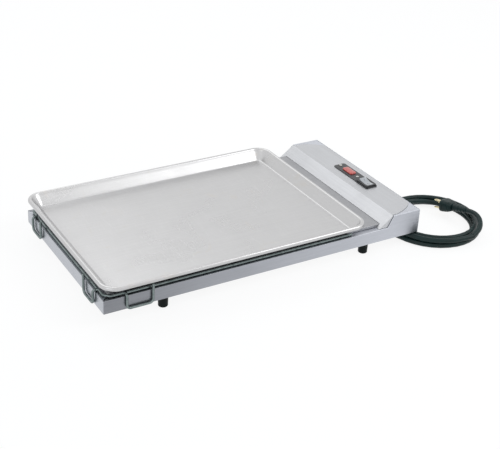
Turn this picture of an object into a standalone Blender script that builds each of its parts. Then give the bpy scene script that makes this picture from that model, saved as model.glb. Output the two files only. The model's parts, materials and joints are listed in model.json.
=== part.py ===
"""Heated shelf food warmer: a low heated plate that keeps one half-size sheet pan of food warm.

A rectangular sheet-metal housing on four rubber feet carries a raised heated shelf plate.
Its right end rises into a control box with a lighted pilot lens and a rocker switch.
Wire rails and two bent corner guards hold the pan in place on the shelf.
The supply cord leaves the back wall, runs round the right end into a round coil of two layers,
and ends in a grounded plug that leans on the coil.

Metres, +Z up. X runs along the housing towards the controls, and -Y is the front.
The origin is at the middle of the bottom of the whole, measured without the cord.
"""

import math

import bmesh
import bpy
from mathutils import Matrix, Vector

# Clearances
TOUCH = 0.0003
SEAM = 0.0008
OVERRUN = 0.004

# Housing
SHEET = 0.0012
FOOT_HEIGHT = 0.019
PANEL_HEIGHT = 0.0217
LEDGE_FLANGE = 0.016
BASE_FLANGE = 0.0045

# Shelf plate
LEDGE_WIDTH = 0.0104
PLATE_RISE = 0.005
PLATE_SHEET = 0.0016
PLATE_UNDER_COVER = 0.011

# Control box
CONTROL_LENGTH = 0.0538
SLOPE_RUN = 0.0191
EAR_RISE = 0.0196
EAR_RUN = 0.0107
EAR_LEDGE = 0.0024
SEAM_START = 0.0085
SEAM_DROP = 0.0244
SEAM_BULGE = 0.004
SEAM_STEPS = 8

# Heating parts below the shelf
DIVIDER_INSET = 0.0085
DIVIDER_FOOT = 0.010
HEATER_THICKNESS = 0.0015
HEATER_MARGIN = 0.004
INSULATION_MARGIN = 0.003
THERMOSTAT_RADIUS = 0.009
THERMOSTAT_LENGTH = 0.009
THERMOSTAT_FRONT = -0.060
TERMINAL_REACH = 0.006
TERMINAL_WIDTH = 0.005
TERMINAL_THICKNESS = 0.0008
TERMINAL_SPACING = 0.009

# Control plate with its switch and pilot lens
CONTROL_PLATE_SIZE = (0.023, 0.098)
CONTROL_PLATE_INSET = 0.025
CONTROL_PLATE_Y = -0.0045
CONTROL_PLATE_SHEET = 0.001
CONTROL_PLATE_CORNER = 0.003
SWITCH_OFFSET = -0.032
BEZEL_SIZE = (0.021, 0.030)
BEZEL_HEIGHT = 0.0018
BEZEL_CORNER = 0.002
SWITCH_BODY_SIZE = (0.0176, 0.0270)
SWITCH_BODY_DEPTH = 0.020
ROCKER_SIZE = (0.0130, 0.0236)
ROCKER_EDGE_RISE = 0.0034
ROCKER_MIDDLE_RISE = 0.0016
ROCKER_DROP = 0.0045
ROCKER_FOOT_SHARE = 0.6
ROCKER_TILT_DEG = 7.0
ROCKER_CLEARANCE = 0.0006
ROCKER_WELL_DEPTH = 0.0075
PIVOT_RADIUS = 0.0011
PIVOT_REACH = 0.0012
PIVOT_CLEARANCE = 0.0003
LENS_OFFSET = 0.0179
LENS_SIZE = (0.0125, 0.027)
LENS_HEIGHT = 0.0026
LENS_CORNER = 0.0035
LENS_CROWN = 0.0012
LAMP_NECK_SIZE = (0.0100, 0.0240)
LAMP_BODY_DEPTH = 0.018
LAMP_WALL = 0.0012

# Screws
SMALL_SCREW_RADIUS = 0.0014
SMALL_SCREW_HEAD_RADIUS = 0.0027
SMALL_SCREW_HEAD = 0.0016
SMALL_SCREW_LENGTH = 0.007
SMALL_SCREW_HOLE = 0.0017
PLATE_SCREW_OFFSETS = (0.044, -0.0063)
COVER_SCREW_SPREAD = 0.095
COVER_SCREW_DROP = 0.014
SLOT_WIDTH = 0.0007
SLOT_DEPTH = 0.0006

# Feet
FOOT_TOP_RADIUS = 0.00825
FOOT_BOTTOM_RADIUS = 0.0076
FOOT_CHAMFER = 0.0008
FOOT_RECESS_RADIUS = 0.0048
FOOT_RECESS_DEPTH = 0.0045
FOOT_INSET_X = 0.100
FOOT_INSET_Y = 0.0125
FOOT_SCREW_RADIUS = 0.0020
FOOT_SCREW_HEAD_RADIUS = 0.0042
FOOT_SCREW_HEAD = 0.0026
FOOT_SCREW_SPARE = 0.0015
FOOT_NUT_RADIUS = 0.0040
FOOT_NUT_HEIGHT = 0.0032

# Wire rails and corner guards
WIRE_RADIUS = 0.002
WIRE_BEND = 0.004
WIRE_LOOP_BEND = 0.006
BEND_STEPS = 4
LEDGE_WIRE_INSET = 0.0052
RAIL_END_GAP = 0.0573
GUARD_LEG_FROM_LEFT = 0.0767
GUARD_HOOK_FROM_LEFT = 0.0354
GUARD_CORNER_FROM_LEFT = 0.0130
GUARD_CORNER_FROM_FRONT = 0.0130
GUARD_HOOK_FROM_FRONT = 0.031
GUARD_LEG_FROM_FRONT = 0.0655
GUARD_LEG_RISE = 0.0115

# Sheet pan
PAN_LENGTH = 0.455
PAN_DEPTH = 0.328
PAN_HEIGHT = 0.019
PAN_SHEET = 0.001
PAN_CORNER = 0.026
PAN_CORNER_STEPS = 7
PAN_FROM_LEFT = 0.0024
PAN_END_GAP = 0.0347
PAN_OVERHANG = 0.012
PAN_FLOOR_INSET = 0.017
PAN_FLOOR_BLEND = 0.0035
PAN_FLOOR_BLEND_RISE = 0.0022
PAN_BLEND_MIDDLE_SHARES = (0.4, 0.28)
PAN_BLEND_SHEET_SHARES = (0.7, 1.3)
PAN_FLOOR_SHEET_SHARE = 0.3
PAN_BEAD_RADIUS = 0.0036
PAN_WALL_TOP_INSET = 0.008
PAN_WALL_TOP_DROP = 0.0055
PAN_BEAD_STEPS = 8
PAN_BEAD_START_DEG = 25.0
PAN_BEAD_END_DEG = 300.0

# Strain relief and terminal block
GLAND_INSET = 0.026
GLAND_RISE = 0.0115
GLAND_REACH = 0.020
GLAND_FLANGE_RADIUS = 0.0092
GLAND_FLANGE = 0.003
GLAND_NECK_RADIUS = 0.0060
GLAND_NOSE_RADIUS = 0.0068
GLAND_TIP_RADIUS = 0.0052
GLAND_RIBS = 5
GLAND_RIB_DEPTH = 0.0008
GLAND_INSIDE = 0.007
GLAND_BARB_RADIUS = 0.0066
BLOCK_INSET = 0.0375
BLOCK_FROM_BACK = 0.062
BLOCK_SIZE = (0.036, 0.054, 0.015)
BLOCK_GROOVE = 0.004
BLOCK_GROOVES = 5
LEAD_RADIUS = 0.0015
LEAD_SPACING = 0.008
LEAD_RISE = 0.004
LEAD_STEP = 0.009

# Supply cord
CORD_DIAMETER = 0.0086
CORD_POINT_SPACING = 0.017
COIL_FROM_END = 0.0605
COIL_CENTRE_Y = -0.1159
COIL_INNER_RADIUS = 0.0661
COIL_PITCH = 0.0092
COIL_LAYER = 0.0091
COIL_TURNS = 3.22
COIL_START_DEG = 192.0
COIL_POINTS_PER_TURN = 24
COIL_CLIMB_TURNS = 0.5
LEAST_COIL_GAP = 0.0004

# Grounded plug
PLUG_FACE_FROM_END = 0.1050
PLUG_FACE_Y = -0.0920
PLUG_FACE_Z = 0.0178
PLUG_HEADING_DEG = 100.2
PLUG_TILT_DEG = -10.3
PLUG_ROLL_DEG = 4.0
PLUG_WIDTH = 0.0265
PLUG_THICKNESS = 0.0205
PLUG_BODY_LENGTH = 0.022
PLUG_BODY_BACK_SHARE = 0.72
PLUG_CORNER = 0.005
PLUG_CORNER_STEPS = 3
PLUG_RELIEF_LENGTH = 0.028
PLUG_RELIEF_RADIUS = 0.0068
PLUG_RELIEF_TIP_RADIUS = 0.0052
PLUG_RIBS = 5
PLUG_RIB_DEPTH = 0.0009
BLADE_SPACING = 0.0127
BLADE_WIDTH = 0.0063
BLADE_THICKNESS = 0.0015
BLADE_REACH = 0.016
BLADE_SOCKET = 0.005
BLADE_OFFSET = 0.0042
GROUND_PIN_RADIUS = 0.0024
GROUND_PIN_REACH = 0.0185
GROUND_PIN_DROP = 0.0118

# Facets of round pieces
SMALL_SIDES = 16
FOOT_SIDES = 24
GLAND_SIDES = 24

# Places worked out from the sizes above; the housing is made to the size of the pan
HOUSING_LENGTH = PAN_LENGTH - PAN_FROM_LEFT + PAN_END_GAP + SLOPE_RUN + CONTROL_LENGTH
HOUSING_DEPTH = PAN_DEPTH - 2.0 * PAN_OVERHANG
WIRE_OFFSET = WIRE_BEND - (WIRE_BEND - WIRE_RADIUS - TOUCH) / math.sqrt(2.0)
OVERALL_LENGTH = WIRE_OFFSET + WIRE_RADIUS + HOUSING_LENGTH + SMALL_SCREW_HEAD
HOUSING_LEFT = -OVERALL_LENGTH / 2.0 + WIRE_OFFSET + WIRE_RADIUS
HOUSING_RIGHT = HOUSING_LEFT + HOUSING_LENGTH
HALF_DEPTH = HOUSING_DEPTH / 2.0
BASE_Z = FOOT_HEIGHT + TOUCH
PANEL_TOP = BASE_Z + PANEL_HEIGHT
EAR_TOP = PANEL_TOP + EAR_RISE
PLATE_TOP = PANEL_TOP + PLATE_RISE
PLATE_UNDER = PLATE_TOP - PLATE_SHEET
PLATE_LEFT = HOUSING_LEFT + LEDGE_WIDTH
PLATE_HALF_DEPTH = HALF_DEPTH - LEDGE_WIDTH
CONTROL_FOLD = HOUSING_RIGHT - CONTROL_LENGTH
SLOPE_BASE = CONTROL_FOLD - SLOPE_RUN
PLATE_RIGHT = SLOPE_BASE + PLATE_UNDER_COVER
DIVIDER_X = SLOPE_BASE - DIVIDER_INSET
COVER_RIGHT = HOUSING_RIGHT - SHEET - TOUCH
COVER_HALF_DEPTH = HALF_DEPTH - SHEET - TOUCH
BASE_TOP = BASE_Z + SHEET
FOOT_NUT_TOP = BASE_TOP + TOUCH + FOOT_NUT_HEIGHT
GLAND_X = HOUSING_RIGHT - GLAND_INSET
GLAND_Z = BASE_Z + GLAND_RISE
BLOCK_CENTRE = (HOUSING_RIGHT - BLOCK_INSET, HALF_DEPTH - BLOCK_FROM_BACK)
LEAD_LOW_Z = BASE_TOP + LEAD_RISE
CONTROL_PLATE_CENTRE = (HOUSING_RIGHT - CONTROL_PLATE_INSET, CONTROL_PLATE_Y)
SWITCH_CENTRE_Y = CONTROL_PLATE_Y + SWITCH_OFFSET
LENS_CENTRE_Y = CONTROL_PLATE_Y + LENS_OFFSET
PLATE_SCREWS_Y = [CONTROL_PLATE_Y + offset for offset in PLATE_SCREW_OFFSETS]
PAN_CENTRE_X = HOUSING_LEFT - PAN_FROM_LEFT + PAN_LENGTH / 2.0
PAN_BOTTOM = PLATE_TOP + TOUCH
CONTROL_PLATE_BOTTOM = EAR_TOP + TOUCH
CONTROL_PLATE_TOP = CONTROL_PLATE_BOTTOM + CONTROL_PLATE_SHEET
BEZEL_BOTTOM = CONTROL_PLATE_TOP + TOUCH
BEZEL_TOP = BEZEL_BOTTOM + BEZEL_HEIGHT
CORD_RADIUS = CORD_DIAMETER / 2.0
CORD_REST_Z = CORD_RADIUS + TOUCH
COIL_CENTRE = (HOUSING_RIGHT + COIL_FROM_END, COIL_CENTRE_Y)
PLUG_FACE = (HOUSING_RIGHT + PLUG_FACE_FROM_END, PLUG_FACE_Y, PLUG_FACE_Z)

# Route of the free cord, after its straight run out of the strain relief, down to the counter,
# round the right end and into the coil. X is counted from the right end.
LEAD_ROUTE = (
    (-0.0207, 0.1981, 0.0279),
    (-0.0065, 0.2121, 0.0215),
    (0.0123, 0.2157, 0.0143),
    (0.0300, 0.2080, 0.0086),
    (0.0428, 0.1904, 0.0056),
    (0.0474, 0.1665, 0.0047),
    (0.0452, 0.1420, 0.0046),
    (0.0408, 0.1195, 0.0046),
    (0.0353, 0.0980, 0.0046),
    (0.0290, 0.0768, 0.0046),
    (0.0224, 0.0550, 0.0046),
    (0.0153, 0.0328, 0.0046),
    (0.0084, 0.0105, 0.0046),
    (0.0014, -0.0115, 0.0046),
    (-0.0058, -0.0332, 0.0046),
    (-0.0128, -0.0550, 0.0046),
    (-0.0193, -0.0774, 0.0046),
    (-0.0236, -0.0985, 0.0046),
)

# Route of the cord's last stretch, which leaves the coil's outer strand and rises over the inner one
# to the plug.
TAIL_ROUTE = (
    (0.0833, -0.1967, 0.0154),
    (0.0956, -0.1927, 0.0191),
    (0.1055, -0.1849, 0.0232),
    (0.1125, -0.1736, 0.0271),
    (0.1154, -0.1608, 0.0290),
)


def clear_objects():
    """Remove whatever the file holds."""
    for item in list(bpy.data.objects):
        bpy.data.objects.remove(item, do_unlink=True)


def finish(name, colour, roughness, metallic=0.0):
    """A Principled material of one colour."""
    surface = bpy.data.materials.new(name)
    surface.use_nodes = True
    shader = surface.node_tree.nodes["Principled BSDF"]
    shader.inputs["Base Color"].default_value = (*colour, 1.0)
    shader.inputs["Roughness"].default_value = roughness
    shader.inputs["Metallic"].default_value = metallic
    surface.diffuse_color = (*colour, 1.0)
    return surface


def stainless(name):
    return finish(name, (0.62, 0.64, 0.67), 0.38, 1.0)


def dark_rubber(name):
    return finish(name, (0.015, 0.024, 0.024), 0.6)


def zinc(name):
    return finish(name, (0.58, 0.58, 0.56), 0.4, 1.0)


def brass(name):
    return finish(name, (0.78, 0.68, 0.40), 0.3, 1.0)


def place(name, shape, surface=None, smooth_angle=30.0):
    """Link a mesh as an object, with its material and with smooth shading on round faces."""
    if surface is not None:
        shape.materials.append(surface)
    shape.shade_smooth()
    shape.set_sharp_from_angle(angle=math.radians(smooth_angle))
    item = bpy.data.objects.new(name, shape)
    bpy.context.scene.collection.objects.link(item)
    return item


def as_helper(item):
    """Mark an object as a tool that only shapes another one."""
    item.hide_render = True
    item.display_type = "WIRE"
    return item


def combine(item, tools, operation):
    """Join helpers to an object, or cut them from it."""
    for tool in tools:
        as_helper(tool)
        step = item.modifiers.new(tool.name, "BOOLEAN")
        step.operation = operation
        step.object = tool
        step.solver = "EXACT"
    return item


def cut(item, *tools):
    return combine(item, tools, "DIFFERENCE")


def join(item, *tools):
    return combine(item, tools, "UNION")


def mesh_from(bm, name):
    bmesh.ops.recalc_face_normals(bm, faces=bm.faces)
    shape = bpy.data.meshes.new(name)
    bm.to_mesh(shape)
    bm.free()
    return shape


def on_axis(axis, point, height):
    """Put a point of a flat outline, and a height above it, in space."""
    a, b = point
    if axis == "X":
        return (height, a, b)
    if axis == "Y":
        return (a, height, b)
    return (a, b, height)


def prism(name, outline, low, high, axis="Z", surface=None, top_share=1.0):
    """An outline pushed from low to high along an axis, and drawn in to a share at its end."""
    bm = bmesh.new()
    verts = [bm.verts.new(on_axis(axis, point, low)) for point in outline]
    face = bm.faces.new(verts)
    push = bmesh.ops.extrude_face_region(bm, geom=[face])
    moved = [part for part in push["geom"] if isinstance(part, bmesh.types.BMVert)]
    middle = sum((vert.co for vert in moved), Vector()) / len(moved)
    shift = Vector(on_axis(axis, (0.0, 0.0), high - low))
    for vert in moved:
        vert.co = middle + (vert.co - middle) * top_share + shift
    return place(name, mesh_from(bm, name), surface)


def box(name, low, high, surface=None):
    """A box from its low corner to its high corner."""
    size = Vector(high) - Vector(low)
    middle = (Vector(high) + Vector(low)) / 2.0
    bm = bmesh.new()
    bmesh.ops.create_cube(bm, size=1.0, matrix=Matrix.Translation(middle) @ Matrix.Diagonal((*size, 1.0)))
    return place(name, mesh_from(bm, name), surface)


def turned(name, profile, sides, surface=None, closed=False):
    """A profile of (radius, height) points spun round Z; a closed one makes a ring."""
    bm = bmesh.new()
    verts = [bm.verts.new((radius, 0.0, height)) for radius, height in profile]
    pairs = list(zip(verts, verts[1:]))
    if closed:
        pairs.append((verts[-1], verts[0]))
    edges = [bm.edges.new(pair) for pair in pairs]
    bmesh.ops.spin(
        bm, geom=verts + edges, cent=(0.0, 0.0, 0.0), axis=(0.0, 0.0, 1.0),
        angle=math.tau, steps=sides, use_merge=True, use_duplicate=False,
    )
    bmesh.ops.remove_doubles(bm, verts=bm.verts, dist=TOUCH / 100.0)
    return place(name, mesh_from(bm, name), surface)


def rod(name, radius, low, high, sides=SMALL_SIDES, surface=None):
    """A plain cylinder on Z."""
    profile = [(0.0, low), (radius, low), (radius, high), (0.0, high)]
    return turned(name, profile, sides, surface)


def stand(item, location, axis="Z"):
    """Move a piece that was made on Z to its place, and turn it to lie along X or Y."""
    item.location = location
    if axis == "X":
        item.rotation_euler = (0.0, math.radians(90.0), 0.0)
    if axis == "Y":
        item.rotation_euler = (math.radians(-90.0), 0.0, 0.0)
    return item


def rounded_rectangle(width, depth, radius, steps, centre=(0.0, 0.0)):
    """Points round a rectangle with arcs at its corners."""
    points = []
    corners = ((1.0, 1.0, 0.0), (-1.0, 1.0, 90.0), (-1.0, -1.0, 180.0), (1.0, -1.0, 270.0))
    for side_x, side_y, start in corners:
        for step in range(steps + 1):
            angle = math.radians(start + 90.0 * step / steps)
            x = side_x * (width / 2.0 - radius) + radius * math.cos(angle)
            y = side_y * (depth / 2.0 - radius) + radius * math.sin(angle)
            points.append((centre[0] + x, centre[1] + y))
    return points


def tube(name, points, radius, resolution, surface, twist="MINIMUM"):
    """A round tube along points, with closed ends."""
    curve = bpy.data.curves.new(name, "CURVE")
    curve.dimensions = "3D"
    curve.twist_mode = twist
    curve.bevel_depth = radius
    curve.bevel_resolution = resolution
    curve.use_fill_caps = True
    spline = curve.splines.new("POLY")
    spline.points.add(len(points) - 1)
    for vertex, point in zip(spline.points, points):
        vertex.co = (*point, 1.0)
    spline.use_smooth = True
    curve.materials.append(surface)
    item = bpy.data.objects.new(name, curve)
    bpy.context.scene.collection.objects.link(item)
    return item


def bent_route(corners, bends, steps=BEND_STEPS):
    """A run of straight wire between corners, each rounded by its own bend radius."""
    corners = [Vector(corner) for corner in corners]
    points = [corners[0]]
    for before, corner, after, bend in zip(corners, corners[1:], corners[2:], bends):
        incoming = (before - corner).normalized()
        outgoing = (after - corner).normalized()
        half = incoming.angle(outgoing) / 2.0
        reach = bend / math.tan(half)
        centre = corner + (incoming + outgoing).normalized() * bend / math.sin(half)
        first = corner + incoming * reach - centre
        last = corner + outgoing * reach - centre
        normal = first.cross(last).normalized()
        sweep = first.angle(last)
        for step in range(steps + 1):
            turn = Matrix.Rotation(sweep * step / steps, 3, normal)
            points.append(centre + turn @ first)
    points.append(corners[-1])
    return points


def smooth_route(route, spacing):
    """Points at an even spacing along a smooth curve through the route's own points.

    The first and last runs of the route stay straight.
    """
    route = [Vector(point) for point in route]
    fine = []
    per_run = 24
    for index in range(1, len(route) - 2):
        before, start, end, after = route[index - 1:index + 3]
        for step in range(per_run):
            t = step / per_run
            fine.append(
                0.5 * (2.0 * start + (end - before) * t
                       + (2.0 * before - 5.0 * start + 4.0 * end - after) * t ** 2
                       + (3.0 * start - before - 3.0 * end + after) * t ** 3)
            )
    fine.append(route[-2])
    lengths = [0.0]
    for first, second in zip(fine, fine[1:]):
        lengths.append(lengths[-1] + (second - first).length)
    count = max(2, round(lengths[-1] / spacing))
    points = [route[0]]
    for step in range(count + 1):
        target = lengths[-1] * step / count
        index = min(range(len(fine)), key=lambda number: abs(lengths[number] - target))
        points.append(fine[index])
    points.append(route[-1])
    return points


def route_length(points):
    return sum((second - first).length for first, second in zip(points, points[1:]))


def ear_flange_outline(front, grow=0.0):
    """The flat corner flange on an ear's top; its inner edge bows out from a straight chord."""
    left = CONTROL_FOLD + EAR_LEDGE / 2.0 - grow
    right = COVER_RIGHT + grow
    outer = HALF_DEPTH - SHEET / 2.0 + grow
    strip = HALF_DEPTH - SHEET - EAR_LEDGE - grow
    start = Vector((CONTROL_FOLD + SEAM_START, strip))
    end = Vector((right, strip - SEAM_DROP))
    chord = end - start
    bow = Vector((-chord.y, chord.x)).normalized()
    points = [(left, outer), (left, strip)]
    for step in range(SEAM_STEPS + 1):
        share = step / SEAM_STEPS
        point = start + chord * share + bow * SEAM_BULGE * 4.0 * share * (1.0 - share)
        points.append((point.x, point.y))
    points.append((right, outer))
    return [(x, front * y) for x, y in points]


def side_panel(name, front, surface):
    """The front or back wall, with its ear, its ledge flange and the ear's corner flange."""
    outline = [
        (HOUSING_LEFT, BASE_Z),
        (HOUSING_RIGHT, BASE_Z),
        (HOUSING_RIGHT, EAR_TOP),
        (CONTROL_FOLD + EAR_LEDGE / 2.0, EAR_TOP),
        (CONTROL_FOLD + EAR_LEDGE / 2.0 - EAR_RUN, PANEL_TOP),
        (HOUSING_LEFT, PANEL_TOP),
    ]
    faces = sorted((front * HALF_DEPTH, front * (HALF_DEPTH - SHEET)))
    panel = prism(name, outline, faces[0], faces[1], "Y", surface)
    outer = HALF_DEPTH - SHEET / 2.0
    inner = HALF_DEPTH - LEDGE_FLANGE
    ledge_outline = [
        (HOUSING_LEFT + SHEET / 2.0, outer),
        (HOUSING_LEFT + LEDGE_FLANGE + TOUCH, inner),
        (COVER_RIGHT, inner),
        (COVER_RIGHT, outer),
    ]
    ledge = prism(
        name + "_ledge", [(x, front * y) for x, y in ledge_outline], PANEL_TOP - SHEET, PANEL_TOP,
    )
    corner = prism(name + "_corner", ear_flange_outline(front), EAR_TOP - SHEET, EAR_TOP)
    return join(panel, ledge, corner)


def back_panel():
    """The back wall, with the hole for the strain relief."""
    panel = side_panel("back_panel", 1.0, stainless("back_steel"))
    hole = rod("gland_hole", GLAND_NECK_RADIUS + TOUCH, -OVERRUN, SHEET + OVERRUN, GLAND_SIDES)
    return cut(panel, stand(hole, (GLAND_X, HALF_DEPTH - SHEET, GLAND_Z), "Y"))


def left_end_panel():
    """The left wall between the side panels, with a ledge flange whose ends are mitred."""
    side = HALF_DEPTH - SHEET - TOUCH
    panel = box(
        "left_end_panel", (HOUSING_LEFT, -side, BASE_Z), (HOUSING_LEFT + SHEET, side, PANEL_TOP),
        stainless("left_end_steel"),
    )
    inner = HALF_DEPTH - LEDGE_FLANGE - TOUCH * 2.0
    mitre = side - TOUCH
    ledge_outline = [
        (HOUSING_LEFT + SHEET / 2.0, -mitre + SHEET),
        (HOUSING_LEFT + LEDGE_FLANGE, -inner),
        (HOUSING_LEFT + LEDGE_FLANGE, inner),
        (HOUSING_LEFT + SHEET / 2.0, mitre - SHEET),
    ]
    return join(panel, prism("left_end_ledge", ledge_outline, PANEL_TOP - SHEET, PANEL_TOP))


def right_end_panel():
    """The tall right wall, with holes for the cover's screws."""
    side = HALF_DEPTH - SHEET - TOUCH
    panel = box(
        "right_end_panel", (HOUSING_RIGHT - SHEET, -side, BASE_Z), (HOUSING_RIGHT, side, EAR_TOP),
        stainless("right_end_steel"),
    )
    return cut(panel, *end_screw_holes("end_panel", HOUSING_RIGHT - SHEET))


def end_screw_holes(prefix, wall_x):
    """Cutters for the holes of the two screws through the right end."""
    holes = []
    for side in (-1.0, 1.0):
        screw = rod("%s_screw_hole_%+d" % (prefix, side), SMALL_SCREW_HOLE, -OVERRUN, SHEET + OVERRUN)
        place_at = (wall_x, side * COVER_SCREW_SPREAD, EAR_TOP - COVER_SCREW_DROP)
        holes.append(stand(screw, place_at, "X"))
    return holes


def base_pan():
    """The floor of the housing, with its edges folded up inside the walls."""
    left = HOUSING_LEFT + SHEET + TOUCH
    right = COVER_RIGHT
    side = COVER_HALF_DEPTH
    top = BASE_Z + BASE_FLANGE
    tray = box("base_pan", (left, -side, BASE_Z), (right, side, top), stainless("base_steel"))
    hollow = box(
        "base_pan_hollow", (left + SHEET, -side + SHEET, BASE_TOP),
        (right - SHEET, side - SHEET, top + OVERRUN),
    )
    cut(tray, hollow)
    for name, x, y in foot_places():
        hole = rod("base_hole_" + name, FOOT_SCREW_RADIUS + TOUCH, -OVERRUN, SHEET + OVERRUN)
        cut(tray, stand(hole, (x, y, BASE_Z)))
    return tray


def shelf_plate():
    """The raised heated plate: a shallow tray upside down on the ledge flanges."""
    skirt = PANEL_TOP + TOUCH
    plate = box(
        "shelf_plate", (PLATE_LEFT, -PLATE_HALF_DEPTH, skirt), (PLATE_RIGHT, PLATE_HALF_DEPTH, PLATE_TOP),
        finish("shelf_aluminium", (0.60, 0.60, 0.62), 0.42, 1.0),
    )
    hollow = box(
        "shelf_plate_hollow",
        (PLATE_LEFT + PLATE_SHEET, -PLATE_HALF_DEPTH + PLATE_SHEET, skirt - OVERRUN),
        (PLATE_RIGHT + OVERRUN, PLATE_HALF_DEPTH - PLATE_SHEET, PLATE_UNDER),
    )
    return cut(plate, hollow)


def heating_parts():
    """The divider, the heater blanket and the insulation that presses it to the plate."""
    half = HALF_DEPTH - LEDGE_FLANGE - INSULATION_MARGIN
    divider_outline = [
        (DIVIDER_X, BASE_TOP + TOUCH),
        (DIVIDER_X + DIVIDER_FOOT, BASE_TOP + TOUCH),
        (DIVIDER_X + DIVIDER_FOOT, BASE_TOP + TOUCH + SHEET),
        (DIVIDER_X + SHEET, BASE_TOP + TOUCH + SHEET),
        (DIVIDER_X + SHEET, PLATE_UNDER - TOUCH),
        (DIVIDER_X, PLATE_UNDER - TOUCH),
    ]
    prism("bay_divider", divider_outline, -half, half, "Y", zinc("divider_steel"))
    heater_top = PLATE_UNDER - TOUCH
    heater_low = heater_top - HEATER_THICKNESS
    left = HOUSING_LEFT + LEDGE_FLANGE + HEATER_MARGIN
    right = DIVIDER_X - TOUCH
    box(
        "heater_blanket", (left, -half, heater_low), (right, half, heater_top),
        finish("heater_silicone", (0.42, 0.12, 0.08), 0.6),
    )
    box(
        "insulation_pad", (left, -half, BASE_TOP + TOUCH), (right, half, heater_low - TOUCH),
        finish("insulation_fibre", (0.80, 0.78, 0.70), 0.95),
    )


def thermostat():
    """A disc thermostat on the divider, with its two terminal blades."""
    start = DIVIDER_X + SHEET + TOUCH
    height = (BASE_TOP + PLATE_UNDER) / 2.0
    profile = [
        (0.0, 0.0),
        (THERMOSTAT_RADIUS, 0.0),
        (THERMOSTAT_RADIUS, THERMOSTAT_LENGTH / 3.0),
        (THERMOSTAT_RADIUS * 0.8, THERMOSTAT_LENGTH / 3.0),
        (THERMOSTAT_RADIUS * 0.8, THERMOSTAT_LENGTH),
        (0.0, THERMOSTAT_LENGTH),
    ]
    body = turned("thermostat", profile, SMALL_SIDES, finish("thermostat_phenolic", (0.10, 0.08, 0.07), 0.5))
    blades = []
    tip = start + THERMOSTAT_LENGTH
    half_y = TERMINAL_THICKNESS / 2.0
    half_z = TERMINAL_WIDTH / 2.0
    for side in (-1.0, 1.0):
        y = THERMOSTAT_FRONT + side * TERMINAL_SPACING / 2.0
        blades.append(box(
            "thermostat_blade_%+d" % side, (tip - SHEET, y - half_y, height - half_z),
            (tip + TERMINAL_REACH, y + half_y, height + half_z),
        ))
    stand(body, (start, THERMOSTAT_FRONT, height), "X")
    return join(body, *blades)


def terminal_block():
    """The block that joins the inner leads, grooved across its top."""
    base = BASE_TOP + TOUCH
    half_x = BLOCK_SIZE[0] / 2.0
    half_y = BLOCK_SIZE[1] / 2.0
    low = (BLOCK_CENTRE[0] - half_x, BLOCK_CENTRE[1] - half_y, base)
    high = (BLOCK_CENTRE[0] + half_x, BLOCK_CENTRE[1] + half_y, base + BLOCK_SIZE[2])
    block = box("terminal_block", low, high, finish("terminal_nylon", (0.75, 0.73, 0.68), 0.6))
    for number in range(BLOCK_GROOVES):
        y = low[1] + BLOCK_SIZE[1] * (number + 1.0) / (BLOCK_GROOVES + 1.0)
        cut(block, box(
            "block_groove_%d" % number,
            (low[0] - OVERRUN, y - BLOCK_GROOVE / 2.0, high[2] - BLOCK_GROOVE),
            (high[0] + OVERRUN, y + BLOCK_GROOVE / 2.0, high[2] + OVERRUN),
        ))
    return block


def control_cover():
    """The folded cover of the control box: a slope, a flat top, two cheeks and a back wall."""
    foot = PANEL_TOP + TOUCH
    slope = (EAR_TOP - PLATE_TOP) / SLOPE_RUN
    foot_x = SLOPE_BASE - (PLATE_TOP - foot) / slope
    outline = [(foot_x, foot), (COVER_RIGHT, foot), (COVER_RIGHT, EAR_TOP), (CONTROL_FOLD, EAR_TOP)]
    cover = prism(
        "control_cover", outline, -COVER_HALF_DEPTH, COVER_HALF_DEPTH, "Y", stainless("cover_steel"),
    )
    lean = math.hypot(1.0, slope)
    inner_top = EAR_TOP - SHEET
    inner_fold = CONTROL_FOLD + SHEET * (lean - 1.0) / slope
    low = foot - OVERRUN
    inner_outline = [
        (inner_fold - (inner_top - low) / slope, low),
        (COVER_RIGHT - SHEET, low),
        (COVER_RIGHT - SHEET, inner_top),
        (inner_fold, inner_top),
    ]
    inner_half = COVER_HALF_DEPTH - SHEET
    cut(cover, prism("cover_hollow", inner_outline, -inner_half, inner_half, "Y"))
    cut(cover, box(
        "cover_plate_notch",
        (foot_x - OVERRUN, -PLATE_HALF_DEPTH - TOUCH, foot - OVERRUN),
        (PLATE_RIGHT + TOUCH, PLATE_HALF_DEPTH + TOUCH, PLATE_TOP + TOUCH),
    ))
    for side in (-1.0, 1.0):
        cut(cover, prism(
            "cover_corner_%+d" % side, ear_flange_outline(side, SEAM),
            EAR_TOP - SHEET - TOUCH, EAR_TOP + OVERRUN,
        ))
    cut(cover, *end_screw_holes("cover", COVER_RIGHT - SHEET))
    cut(cover, *top_holes("cover", EAR_TOP - SHEET, EAR_TOP))
    return cover


def top_holes(prefix, low, high):
    """Cutters for the switch, the lamp and the plate's screws through a flat top."""
    x = CONTROL_PLATE_CENTRE[0]
    holes = []
    windows = (("switch", SWITCH_BODY_SIZE, SWITCH_CENTRE_Y), ("lamp", LAMP_NECK_SIZE, LENS_CENTRE_Y))
    for label, size, y in windows:
        half_x = size[0] / 2.0 + TOUCH
        half_y = size[1] / 2.0 + TOUCH
        holes.append(box(
            "%s_%s_hole" % (prefix, label),
            (x - half_x, y - half_y, low - OVERRUN), (x + half_x, y + half_y, high + OVERRUN),
        ))
    for number, y in enumerate(PLATE_SCREWS_Y):
        label = "%s_plate_screw_hole_%d" % (prefix, number)
        hole = rod(label, SMALL_SCREW_HOLE, low - OVERRUN, high + OVERRUN)
        holes.append(stand(hole, (x, y, 0.0)))
    return holes


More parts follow.
